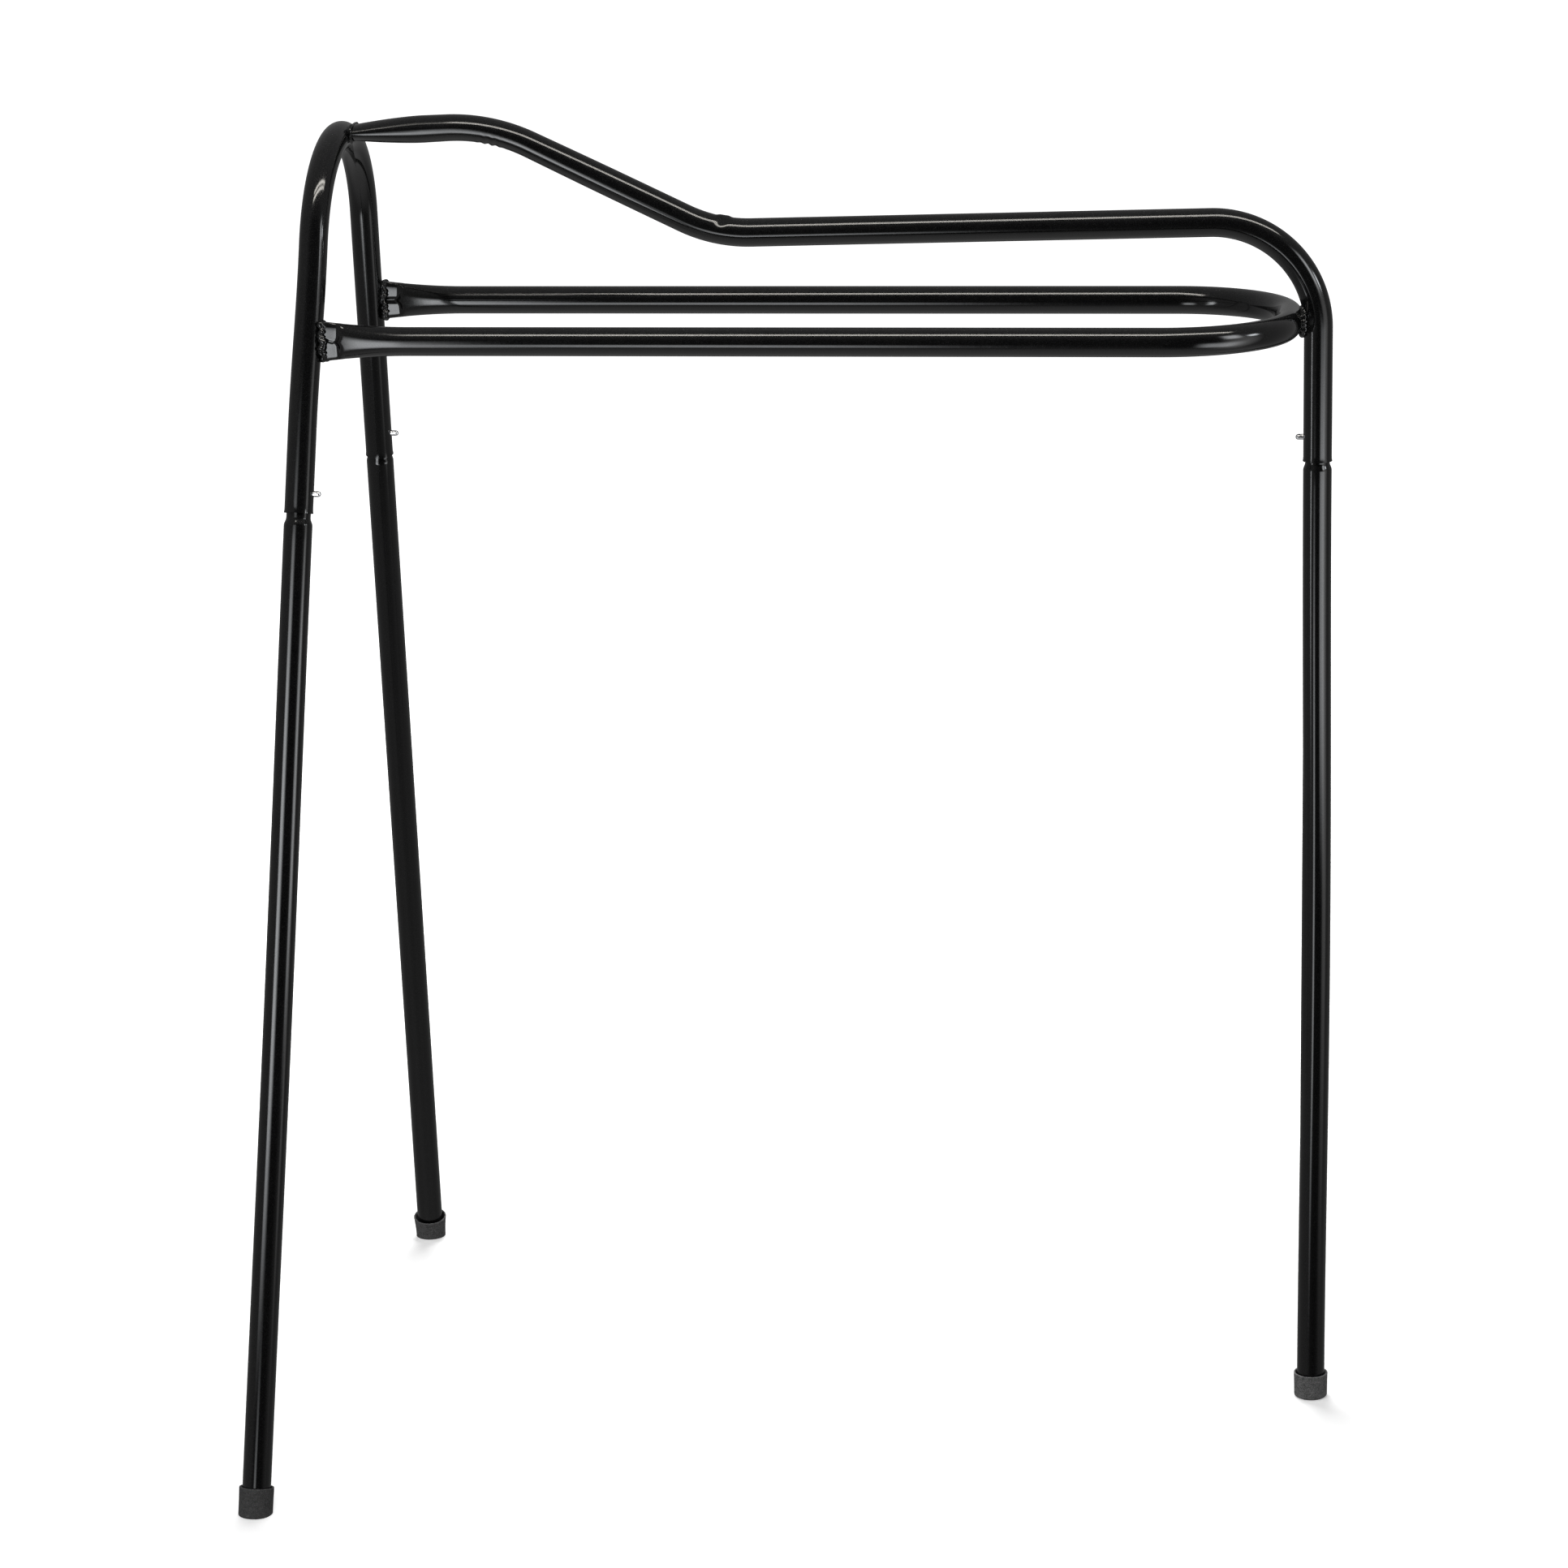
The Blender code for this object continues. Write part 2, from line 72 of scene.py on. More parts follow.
LOOP_BACK_X = LOOP_HIGH.x - TUBE_R
LOOP_PRESS_HIGH = LOOP_HIGH.z - LOOP_LOW.z
SOCKET_REAR_Z = RAIL_LOW.z
MOUNTS = {mount["name"]: Vector(mount["pos_m"]) for mount in frame["record"]["mounts"]}
AXES = {joint["name"]: Vector(joint["axis"]) for joint in frame["joints"]}

# ---- tube stock, in metres ----
WALL = 0.0011
GAP = 0.0003
SIDES = 72                 # flats round a swept tube
STEP = 0.002               # spacing of the rings along a swept tube
FINE_STEP = 0.0009         # and along a tube that is pressed or folded somewhere
TURNED_SIDES = 64          # flats round a turned piece
POLE_R = 1e-7              # a turned profile's radius below this is a point on its axis
LIP_FLARE = 0.00032        # a saw-cut socket end stands out by this much
LIP_LENGTH = 0.0030

# ---- arch ----
SOCKET_LEFT_Z = 0.6451     # where each side of the arch is cut off
SOCKET_RIGHT_Z = 0.6420
ARCH_SET = 0.0021          # its crown is bent back this far on the left, out of its plane
ARCH_SET_Z = (0.70, 0.81)  # from none to all of that, going up
ARCH_SET_Y = (0.09, -0.03)  # and going left

# ---- top rail and post ----
RAIL_START_Z = 0.8821
RAIL_CREST = (-0.2081, 0.8864)  # X and Z of the corner that each bend rounds off
RAIL_DIP = (-0.0569, 0.8140)
RAIL_CORNER_Z = 0.8218
RAIL_BEND_R = (0.118, 0.100, 0.0695)
RAIL_PINCH_HIGH = 0.0105   # the front end is pinched to this height and width
RAIL_PINCH_WIDE = 0.0235
RAIL_PINCH_FLAT = 0.002    # wholly up to here, and not at all past the next
RAIL_PINCH_END = 0.050
RAIL_PINCH_FADE = 1.5
RAIL_REACH = 0.0020        # the pinched end is drawn this much on, into its weld
CREST_OVAL = 0.075         # the tube is this much flatter over the crest bend
CREST_WIDEN = 0.5          # and this share of that wider
CREST_REACH = 0.040
RIPPLE_HIGH = 0.00048      # wrinkles under the crest bend
RIPPLE_PITCH = 0.0058
RIPPLE_REACH = 0.0056
FOLD_AHEAD = 0.0035        # the dip's fold sits this far past the middle of the bend
HUMP_HIGH = 0.00095        # it stands up on top of the tube
HUMP_FLAT = 0.0026
HUMP_REACH = 0.0042
HUMP_ANGLES = (47.0, 90.0)  # from none to all, in degrees up the tube's side
DENT_DEEP = 0.00092        # and is pushed in below that
DENT_BACK = 0.0018         # a little nearer the front
DENT_REACH = 0.0030
DENT_ANGLES = (4.0, 42.0)  # degrees where it starts and is deepest
DENT_FADE_ANGLES = (46.0, 96.0)  # and where it starts to fade, and would end

# ---- side rail loop ----
LOOP_BEND_R = 0.0785
LOOP_PRESS_WIDE = 0.0068   # thickness of its pressed ends
LOOP_PRESS_END = 0.056     # how far along the tube is round again
LOOP_PRESS_FADE = 1.9
LOOP_FLAT = 0.0088         # length of the part pressed quite flat
LOOP_FLAT_RAMP = 0.0055
LOOP_POWER = 2.0           # power of the section's outline: an ellipse
LOOP_POWER_PRESSED = 0.5   # squarer where it is pressed
LOOP_POWER_FLAT = 3.0      # and squarer still where it is flat
# the flat is folded along its middle: depth, width and sway of the fold at the left and right ends
LOOP_CREASE = (0.00045, 0.00095)
LOOP_CREASE_WIDE = (0.0013, 0.0029)
LOOP_CREASE_SWAY = (0.0005, 0.0)
LOOP_CREASE_TURNS = 700.0  # radians of sway for each metre along
LOOP_CREASE_OFF = 0.0004   # the fold lies this far above the middle
LOOP_TENT = 0.0006         # the flat's two halves fall away by this much
LOOP_WAIST = 0.0022        # the flat is shorter by this much along the fold
LOOP_WAIST_HIGH = 0.0035
LOOP_SLANT = 0.0015        # and longer low down at the right end

# ---- lower legs ----
# height of the shoulder, where the tube's foot is along the leg, and how far it bows
LEG_SHOULDER = {"front_left": 0.6387, "front_right": 0.6387, "rear": 0.6576}
LEG_FOOT = {"front_left": 0.0050, "front_right": 0.0050, "rear": 0.0030}
LEG_BOW = {"front_left": 0.0006, "front_right": 0.0, "rear": -0.0017}
LEG_RUNS = 60              # rings along a leg, so that it can bow
LEG_EDGE = 0.0004          # chamfer at its foot
NECK_R = TUBE_R - WALL - GAP
NECK_BORE_R = NECK_R - WALL
NECK_LENGTH = 0.0489
NECK_EVEN = 0.010          # it keeps an even ring this far above the shoulder
NECK_END = (0.0005, 0.0007)  # chamfer round its top: inwards and down
NECK_BORE_END = (0.0002, 0.0004)
BORE_DROP = 0.0008         # inside, the shoulder starts to draw in this much lower
SHOULDER_LOW = 0.0016      # the shoulder starts to draw in this far below its mark
SHOULDER_HIGH = 0.0036     # and is down to the neck this far above it
SHOULDER_RUNS = 14

# ---- snap buttons and springs ----
BUTTON_Z = {"front_left": 0.6578, "front_right": 0.6578, "rear": 0.6780}
PIN_R = 0.0020
PIN_HOLE_R = 0.0023
PIN_TIP = TUBE_R + 0.0051  # how far the pin's end is from the leg's axis
PIN_ROUND_STEPS = 14
DRILL_OUTER = TUBE_R + 0.003  # a hole's cutter starts this far out
DRILL_NECK_INNER = NECK_BORE_R - 0.0015  # and ends here when it goes through a neck too
FLANGE_R = 0.00325
FLANGE_INNER = 0.0051
FLANGE_OUTER = 0.0059
FLANGE_EDGE = 0.0002
SPRING_THICK = 0.0005
SPRING_WIDE = 0.0050
SPRING_EDGE = 0.00012      # chamfer along the strip
SPRING_PAD_X = 0.00455     # where the pad behind the button lies
SPRING_PAD_Z = (0.0040, -0.0050)  # its top and bottom, from the button's axis
SPRING_BACK_X = -0.00585   # where the back arm lies
SPRING_BACK_Z = 0.0070     # its top
SPRING_BEND_X = -0.0034    # where the slanting arm reaches the bend
SPRING_BEND_Z = -0.0326
SPRING_BEND_R = (0.006, 0.0009, 0.0009)
SPRING_STEP = 0.0004
SPRING_END_SQUARE = 0.08   # least share of its width at a rounded end, squared

# ---- rubber caps ----
CAP_HIGH = 0.0177
CAP_SOLE = 0.0023          # thickness of the rear cap's sole
CAP_CORNER_R = 0.0021
CAP_RIM_R = 0.0006
CAP_LIP = (0.0008, 0.0022)  # inside edge of the rim: in from its round, and below the top
CAP_BORE_TOP = 0.0080      # the mouth narrows down to here, nearly to the leg
CAP_BORE_SLACK = 0.0002
CAP_GRIP = 0.0100          # and grips it from here, all measured below the top
CAP_SPARE = 0.0030         # a slanting cap is turned this much too long, then cut at the floor
CAP_RUNS = 8               # rings across the bottom and round each corner, twice this up the side
# radius low down and at the rim
CAP_SIZES = {"front_left": (0.01145, 0.01165), "front_right": (0.01120, 0.01240),
             "rear": (0.01145, 0.01175)}
UPRIGHT = 0.999            # a leg whose direction has more than this of +Z stands upright

# ---- weld beads ----
BEAD_R = {"weld_top_rail": 0.0023, "weld_loop_left": 0.0023, "weld_loop_right": 0.0023,
          "weld_loop_post": 0.0026}
# share of that radius which is filled, and share by which it is lumpy
BEAD_FILL = {"weld_top_rail": 0.52, "weld_loop_left": 1.02, "weld_loop_right": 1.02,
             "weld_loop_post": 1.0}
BEAD_LUMP = {"weld_top_rail": 0.16, "weld_loop_left": 0.85, "weld_loop_right": 0.85,
             "weld_loop_post": 0.60}
BEAD_RINGS = 168
BEAD_SIDES = 20
BEAD_CORNER_STEPS = 96
BEAD_RIPPLES = 15
BEAD_UNEVEN = 4.0          # radians by which the ripples drift from even spacing
BEAD_UNEVEN_SCALE = 150.0
BEAD_SCALLOP = 0.38        # depth of a ripple, as a share of the lumps
BEAD_LUMP_SCALE = 260.0
BEAD_FINE = 0.07
BEAD_FINE_SCALE = 900.0
BEAD_ROUGH = 0.20
BEAD_PEEL = 2.5

# ---- finishes ----
COAT_TONES = ((0.0024, 0.0024, 0.0026, 1.0), (0.0048, 0.0048, 0.0051, 1.0))
COAT_DUST = (0.024, 0.024, 0.024, 1.0)
COAT_ROUGH = 0.10
PEEL_DEEP = 0.000025       # orange peel
GRAIN_DEEP = 0.00001
# grey of each cap: the shared darkness is the rubber's own, and the differences between the caps are
# painted light, paler for a cap that is lit more
RUBBER_TONE_AND_PAINTED_LIGHT = {"front_left": 0.054, "front_right": 0.105, "rear": 0.155}
RUBBER_SCUFF = (0.12, 0.118, 0.112, 1.0)
SCUFF_HIGH = 0.0035        # the rubber is scuffed up to this height
CHROME_TONES = ((0.80, 0.81, 0.83, 1.0), (0.90, 0.90, 0.91, 1.0))
STEEL_TONES = ((0.36, 0.37, 0.40, 1.0), (0.50, 0.50, 0.51, 1.0))
SHARP_ANGLE = 38.0         # edges sharper than this many degrees are shaded as edges
SOFT_EDGE_ANGLE = 50.0     # on caps and springs
BEAD_EDGE_ANGLE = 80.0     # on weld beads

# ---- camera: a long lens a little left of square on, looking slightly down ----
CAMERA_PLACE = (0.4358, -3.0564, 1.2221)
CAMERA_YAW = 0.1477        # turned to the left
CAMERA_PITCH = 0.2494      # tipped down
CAMERA_ROLL = -0.0216
CAMERA_LENS = 106.63
CAMERA_FAR = 100.0
SENSOR = 36.0

# ---- studio ----
STUDIO_R = 24.0
WHITE = (1.0, 1.0, 1.0, 1.0)
FLOOR_TONE = 0.86          # grey of the paper, which its own glow lifts to white
FLOOR_GLOW = (0.37, 1.0)   # by the stand, and away from it
FLOOR_NEAR = 0.55          # distances from the middle where the glow starts and stops to rise
FLOOR_FAR = 1.6
ROOM_DARK = 0.03           # brightness of the room straight in front, to the sides and below
ROOM_SIDE = 0.21
ROOM_LOW = 0.26
ROOM_FRONT = (0.30, -0.95, 0.08)  # straight in front
ROOM_SIDE_COSINES = (0.95, 0.50)  # cosines off that where the sides begin and are full
ROOM_LOW_SINES = (-0.55, -0.97)   # the same for below, as the height of a direction

# wide lamps that light the rubber, the floor and the insides of the tubes:
# name, place, size, power
LAMPS = (
    ("lamp_front", (-0.6, -1.8, 3.0), 2.6, 45.0),
    ("lamp_back", (-0.25, 1.3, 2.7), 1.3, 62.0),
)

COOL = (0.95, 0.975, 1.0)
COOLER = (0.92, 0.96, 1.0)
NEUTRAL = (1.0, 1.0, 1.0)
WARM = (1.0, 0.965, 0.90)
CARD_MIDDLE = 0.5          # a card's middle in its own UV, and so how far off its edge is
SOFT = 0.12                # a card starts to fade this far from its middle
CRISP = 0.42
ABOVE_TURN = -20.0         # the overhead pair rises and runs back to the right

# Cards of light that only the gloss shows: name, centre, the way it faces, its turn about that
# in degrees, width, height, fade, brightness, colour
CARDS = (
    ("card_front_left", (-0.565, -0.77, 0.52), (-0.40, 0.92, 0.0), 0.0, 0.60, 0.84, SOFT, 6.6, COOL),
    ("card_low_front", (-0.43, -2.00, -0.20), (0.0, 1.0, 0.2), 0.0, 0.76, 1.10, SOFT, 3.8, COOL),
    ("card_right", (0.71, -0.44, 0.47), (-0.85, 0.5, 0.0), 0.0, 0.62, 0.54, SOFT, 3.8, COOL),
    ("card_right_tall", (0.90, -0.30, 0.50), (-0.9, 0.3, 0.0), 0.0, 0.60, 1.50, SOFT, 1.0, NEUTRAL),
    ("card_right_high", (1.10, -0.50, 1.15), (-0.8, 0.45, -0.4), 0.0, 0.40, 0.60, SOFT, 6.0, COOL),
    ("card_right_bright", (1.10, -0.16, 1.03), (-1.0, 0.1, -0.3), 0.0, 0.22, 0.22, SOFT, 12.0, COOLER),
    ("card_above_near", (0.50, -0.66, 2.32), (0.0, 0.50, -0.86), ABOVE_TURN, 2.60, 0.12, CRISP, 13.0,
     WARM),
    ("card_above_far", (0.50, -0.49, 2.42), (0.0, 0.48, -0.88), ABOVE_TURN, 2.60, 0.12, CRISP, 13.0,
     WARM),
)


# ================================================================ materials

def map_range(tree, source, low, high, to_low, to_high, kind="LINEAR"):
    """Output of a node that takes low to to_low and high to to_high."""
    node = tree.nodes.new("ShaderNodeMapRange")
    node.interpolation_type = kind
    for key, value in (("From Min", low), ("From Max", high), ("To Min", to_low),
                       ("To Max", to_high)):
        node.inputs[key].default_value = value
    tree.links.new(source, node.inputs["Value"])
    return node.outputs["Result"]


def calculate(tree, operation, *terms):
    """Output of a Math node. A term is a number or another node's output."""
    node = tree.nodes.new("ShaderNodeMath")
    node.operation = operation
    for socket, term in zip(node.inputs, terms):
        if isinstance(term, float):
            socket.default_value = term
        else:
            tree.links.new(term, socket)
    return node.outputs["Value"]


class Nodes:
    """A material's node tree, with short calls to add and join nodes."""

    def __init__(self, name):
        self.mat = bpy.data.materials.new(name)
        self.mat.use_nodes = True
        self.tree = self.mat.node_tree
        self.shader = self.tree.nodes["Principled BSDF"]
        self.place = self.add("ShaderNodeTexCoord").outputs["Object"]

    def add(self, kind, **settings):
        node = self.tree.nodes.new(kind)
        for key, value in settings.items():
            setattr(node, key, value)
        return node

    def join(self, source, target):
        self.tree.links.new(source, target)

    def noise(self, scale, detail=2.0, roughness=0.5, stretch=None):
        node = self.add("ShaderNodeTexNoise")
        node.inputs["Scale"].default_value = scale
        node.inputs["Detail"].default_value = detail
        node.inputs["Roughness"].default_value = roughness
        if stretch:
            mapping = self.add("ShaderNodeMapping")
            mapping.inputs["Scale"].default_value = stretch
            self.join(self.place, mapping.inputs["Vector"])
            self.join(mapping.outputs["Vector"], node.inputs["Vector"])
        else:
            self.join(self.place, node.inputs["Vector"])
        return node.outputs["Fac"]

    def ranged(self, source, low, high, to_low, to_high):
        return map_range(self.tree, source, low, high, to_low, to_high)

    def mixed(self, share, first, second):
        """Blend of two colours, each a tuple or another node's output."""
        node = self.add("ShaderNodeMix", data_type="RGBA")
        self.join(share, node.inputs["Factor"])
        for socket, colour in ((node.inputs[6], first), (node.inputs[7], second)):
            if isinstance(colour, tuple):
                socket.default_value = colour
            else:
                self.join(colour, socket)
        return node.outputs[2]

    def bump(self, height, distance, strength, below=None):
        node = self.add("ShaderNodeBump")
        node.inputs["Distance"].default_value = distance
        node.inputs["Strength"].default_value = strength
        self.join(height, node.inputs["Height"])
        if below is not None:
            self.join(below, node.inputs["Normal"])
        return node.outputs["Normal"]

    def set(self, **values):
        for key, value in values.items():
            self.shader.inputs[key.replace("_", " ")].default_value = value


def powder_coat(name, rough=COAT_ROUGH, peel=1.0):
    """Gloss black powder coat: orange peel, fine grain and a few pale dust specks."""
    nodes = Nodes(name)
    tone = nodes.ranged(nodes.noise(60.0, 3.0), 0.3, 0.7, 0.0, 1.0)
    black = nodes.mixed(tone, *COAT_TONES)
    speck = nodes.ranged(nodes.noise(2300.0, 2.0), 0.50, 0.72, 0.0, 1.0)
    nodes.join(nodes.mixed(speck, black, COAT_DUST), nodes.shader.inputs["Base Color"])
    worn = nodes.noise(220.0, 4.0, 0.6)
    nodes.join(nodes.ranged(worn, 0.25, 0.75, rough - 0.03, rough + 0.03),
               nodes.shader.inputs["Roughness"])
    peel_bump = nodes.bump(nodes.noise(420.0, 1.0, 0.40), PEEL_DEEP * peel, 0.25)
    grain = nodes.bump(nodes.noise(3600.0, 2.0, 0.6), GRAIN_DEEP, 0.07, peel_bump)
    nodes.join(grain, nodes.shader.inputs["Normal"])
    nodes.set(IOR=1.52)
    return nodes.mat


def rubber(name, tone):
    """Matt moulded rubber, mottled, with a dusty scuffed edge next to the floor; its tone, given per
    cap, holds painted light.
    """
    nodes = Nodes(name)
    mottle = nodes.ranged(nodes.noise(420.0, 5.0, 0.65), 0.3, 0.7, 0.0, 1.0)
    # tone is the rubber's grey with painted light in it: it is set paler for a cap that is lit more
    dark, pale = 0.5 * tone, 1.5 * tone
    grey = nodes.mixed(mottle, (dark, dark, dark, 1.0), (pale, pale, pale, 1.0))
    speck = nodes.ranged(nodes.noise(1900.0, 2.0), 0.52, 0.70, 0.0, 0.8)
    dust = 3.0 * tone
    specked = nodes.mixed(speck, grey, (dust, dust, dust, 1.0))
    split = nodes.add("ShaderNodeSeparateXYZ")
    nodes.join(nodes.place, split.inputs["Vector"])
    low = nodes.ranged(split.outputs["Z"], 0.0, SCUFF_HIGH, 1.0, 0.0)
    patches = nodes.ranged(nodes.noise(900.0, 4.0), 0.42, 0.66, 0.0, 0.7)
    scuff = calculate(nodes.tree, "MULTIPLY", low, patches)
    nodes.join(nodes.mixed(scuff, specked, RUBBER_SCUFF), nodes.shader.inputs["Base Color"])
    nodes.join(nodes.ranged(mottle, 0.0, 1.0, 0.62, 0.86), nodes.shader.inputs["Roughness"])
    pores = nodes.bump(nodes.noise(1500.0, 4.0, 0.6), 0.00012, 0.5)
    nodes.join(nodes.bump(nodes.noise(260.0, 2.0), 0.0003, 0.25, pores),
               nodes.shader.inputs["Normal"])
    nodes.set(IOR=1.45)
    return nodes.mat


def chrome(name):
    """Bright plated steel with faint turning marks."""
    nodes = Nodes(name)
    tone = nodes.ranged(nodes.noise(900.0, 3.0), 0.3, 0.7, 0.0, 1.0)
    nodes.join(nodes.mixed(tone, *CHROME_TONES), nodes.shader.inputs["Base Color"])
    nodes.join(nodes.ranged(nodes.noise(1400.0, 3.0), 0.3, 0.7, 0.24, 0.34),
               nodes.shader.inputs["Roughness"])
    marks = nodes.noise(500.0, 2.0, 0.5, (0.25, 1.0, 6.0))
    nodes.join(nodes.bump(marks, 0.00001, 0.25), nodes.shader.inputs["Normal"])
    nodes.set(Metallic=1.0)
    return nodes.mat


def spring_steel(name):
    """Bare blued strip, brushed along its length."""
    nodes = Nodes(name)
    tone = nodes.ranged(nodes.noise(260.0, 4.0), 0.3, 0.7, 0.0, 1.0)
    nodes.join(nodes.mixed(tone, *STEEL_TONES), nodes.shader.inputs["Base Color"])
    brushed = nodes.noise(900.0, 3.0, 0.6, (1.0, 1.0, 0.06))
    nodes.join(nodes.ranged(brushed, 0.3, 0.7, 0.26, 0.42), nodes.shader.inputs["Roughness"])
    nodes.join(nodes.bump(brushed, 0.00002, 0.4), nodes.shader.inputs["Normal"])
    nodes.set(Metallic=1.0)
    return nodes.mat


# ================================================================ meshes

def smooth(value):
    """From 0 to 1 with no kink at either end."""
    value = np.clip(value, 0.0, 1.0)
    return value * value * (3.0 - 2.0 * value)


def between(value, low, high):
    """From 0 at low to 1 at high with no kink at either end."""
    return smooth((value - low) / (high - low))


def bell(value):
    """1 at 0, falling away on both sides."""
    return np.exp(-0.5 * value * value)


def make(name, points, faces):
    """Object from an array of points and a list of faces, with its normals made to agree."""
    mesh = bpy.data.meshes.new(name)
    mesh.from_pydata(np.asarray(points, float).reshape(-1, 3).tolist(), [], faces)
    work = bmesh.new()
    work.from_mesh(mesh)
    bmesh.ops.recalc_face_normals(work, faces=work.faces)
    work.to_mesh(mesh)
    work.free()
    obj = bpy.data.objects.new(name, mesh)
    bpy.context.scene.collection.objects.link(obj)
    return obj


def grid_faces(rows, columns, wrap_rows=False):
    """Quads between rings of points: columns wrap round, and rows too when asked."""
    faces = []
    for row in range(rows if wrap_rows else rows - 1):
        after = (row + 1) % rows
        for column in range(columns):
            beside = (column + 1) % columns
            faces.append((row * columns + column, row * columns + beside,
                          after * columns + beside, after * columns + column))
    return faces


def fillet(corners, radii):
    """Points along straight runs joined by round bends, one radius for each inner corner."""
    out = [corners[0].copy()]
    for index in range(1, len(corners) - 1):
        here = corners[index]
        back = (corners[index - 1] - here).normalized()
        ahead = (corners[index + 1] - here).normalized()
        half = back.angle(ahead) / 2.0
        radius = radii[index - 1]
        centre = here + (back + ahead).normalized() * (radius / math.sin(half))
        start = here + back * (radius / math.tan(half))
        sweep_angle = math.pi - 2.0 * half
        axis = back.cross(ahead).normalized()
        count = max(4, round(math.degrees(sweep_angle)))
        for step in range(count + 1):
            turn = Matrix.Rotation(-sweep_angle * step / count, 3, axis)
            out.append(centre + turn @ (start - centre))
    out.append(corners[-1].copy())
    return out


def resample(points, spacing):
    """The same line with its points evenly spaced, and how far along it each one is."""
    points = np.array([tuple(point) for point in points])
    lengths = np.linalg.norm(np.diff(points, axis=0), axis=1)
    travelled = np.concatenate([[0.0], np.cumsum(lengths)])
    count = max(8, int(round(travelled[-1] / spacing))) + 1
    marks = np.linspace(0.0, travelled[-1], count)
    even = np.stack([np.interp(marks, travelled, points[:, axis]) for axis in range(3)], axis=1)
    return even, marks


def sweep(name, points, across, outline, spacing=STEP, wall=WALL):
    """Hollow tube along a line. outline gives the skin's offsets across and square to that."""
    line, marks = resample(points, spacing)
    tangent = np.gradient(line, axis=0)
    tangent /= np.linalg.norm(tangent, axis=1)[:, None]
    second = np.cross(np.array(across, float), tangent)
    second /= np.linalg.norm(second, axis=1)[:, None]
    first = np.cross(tangent, second)
    turn = np.linspace(0.0, 2.0 * math.pi, SIDES, endpoint=False)[None, :]
    wide, high = outline(marks[:, None], marks[-1], turn)
    reach = np.sqrt(wide * wide + high * high)
    shrink = 1.0 - wall / reach
    skins = []
    for scale in (np.ones_like(reach), shrink):
        skins.append(line[:, None, :] + first[:, None, :] * (wide * scale)[..., None]
                     + second[:, None, :] * (high * scale)[..., None])
    rings = len(line)
    skin = grid_faces(rings, SIDES)
    count = rings * SIDES
    bore = [tuple(index + count for index in face) for face in skin]
    rims = []
    for base in (0, (rings - 1) * SIDES):
        for column in range(SIDES):
            beside = (column + 1) % SIDES
            rims.append((base + column, base + beside, base + beside + count,
                         base + column + count))
    return make(name, np.concatenate([part.reshape(-1, 3) for part in skins]),
                skin + bore + rims)


def turned(name, profile, matrix, closed, along="Z"):
    """Piece turned about its own axis from (radius, height) pairs. A radius of zero is a pole."""
    points, faces, rings = [], [], []
    for radius, height in profile:
        start = len(points)
        count = 1 if radius < POLE_R else TURNED_SIDES
        for step in range(count):
            angle = 2.0 * math.pi * step / TURNED_SIDES
            x, y = radius * math.cos(angle), radius * math.sin(angle)
            place = (x, y, height) if along == "Z" else (height, x, y)
            points.append(tuple(matrix @ Vector(place)))
        rings.append((start, count))
    pairs = list(zip(rings, rings[1:]))
    if closed:
        pairs.append((rings[-1], rings[0]))
    for (start, count), (after, after_count) in pairs:
        for step in range(TURNED_SIDES):
            beside = (step + 1) % TURNED_SIDES
            ring = [start + step % count, start + beside % count,
                    after + beside % after_count, after + step % after_count]
            face = list(dict.fromkeys(ring))
            if len(face) > 2:
                faces.append(face)
    return make(name, points, faces)


def cut_hole(obj, matrix, inner, outer):
    """A snap button's hole, bored through one wall of a tube."""
    drill = turned("drill", [(0.0, inner), (PIN_HOLE_R, inner), (PIN_HOLE_R, outer),
                             (0.0, outer)], matrix, False, "X")
    boolean = obj.modifiers.new("hole", "BOOLEAN")
    boolean.operation = "DIFFERENCE"
    boolean.solver = "EXACT"
    boolean.object = drill
    evaluated = obj.evaluated_get(bpy.context.evaluated_depsgraph_get())
    mesh = bpy.data.meshes.new_from_object(evaluated)
    obj.modifiers.clear()
    obj.data = mesh
    bpy.data.objects.remove(drill, do_unlink=True)


def dress(obj, material, body, node, angle=SHARP_ANGLE):
    """Shading, finish and place in the object for a new piece."""
    mesh = obj.data
    mesh.materials.clear()
    mesh.materials.append(material)
    mesh.polygons.foreach_set("use_smooth", [True] * len(mesh.polygons))
    mesh.set_sharp_from_angle(angle=math.radians(angle))
    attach(obj, body)
    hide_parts(node)
    return obj


# ================================================================ legs

def placement(origin, up, facing):
    """Frame at a place, with its Z along up and its X as near to facing as that allows."""
    side = up.cross(facing).normalized()
    front = side.cross(up).normalized()
    return Matrix.Translation(origin) @ Matrix((front, side, up)).transposed().to_4x4()


def leg_layout():
    """Each leg's foot, direction and frames: left front, right front and rear."""
    legs = []
    for name, facing in (("front_left", 1.0), ("front_right", 1.0), ("rear", -1.0)):
        floor = MOUNTS["foot_" + name]
        up = -AXES["leg_" + name + "_slide"].normalized()
        forward = Vector((facing, 0.0, 0.0))
        legs.append({
            "name": name,
            "floor": floor,
            "up": up,
            "shoulder": LEG_SHOULDER[name] / up.z,
            "matrix": placement(floor, up, forward),
            "button": placement(floor + up * (BUTTON_Z[name] / up.z), up, forward),
        })
    return legs


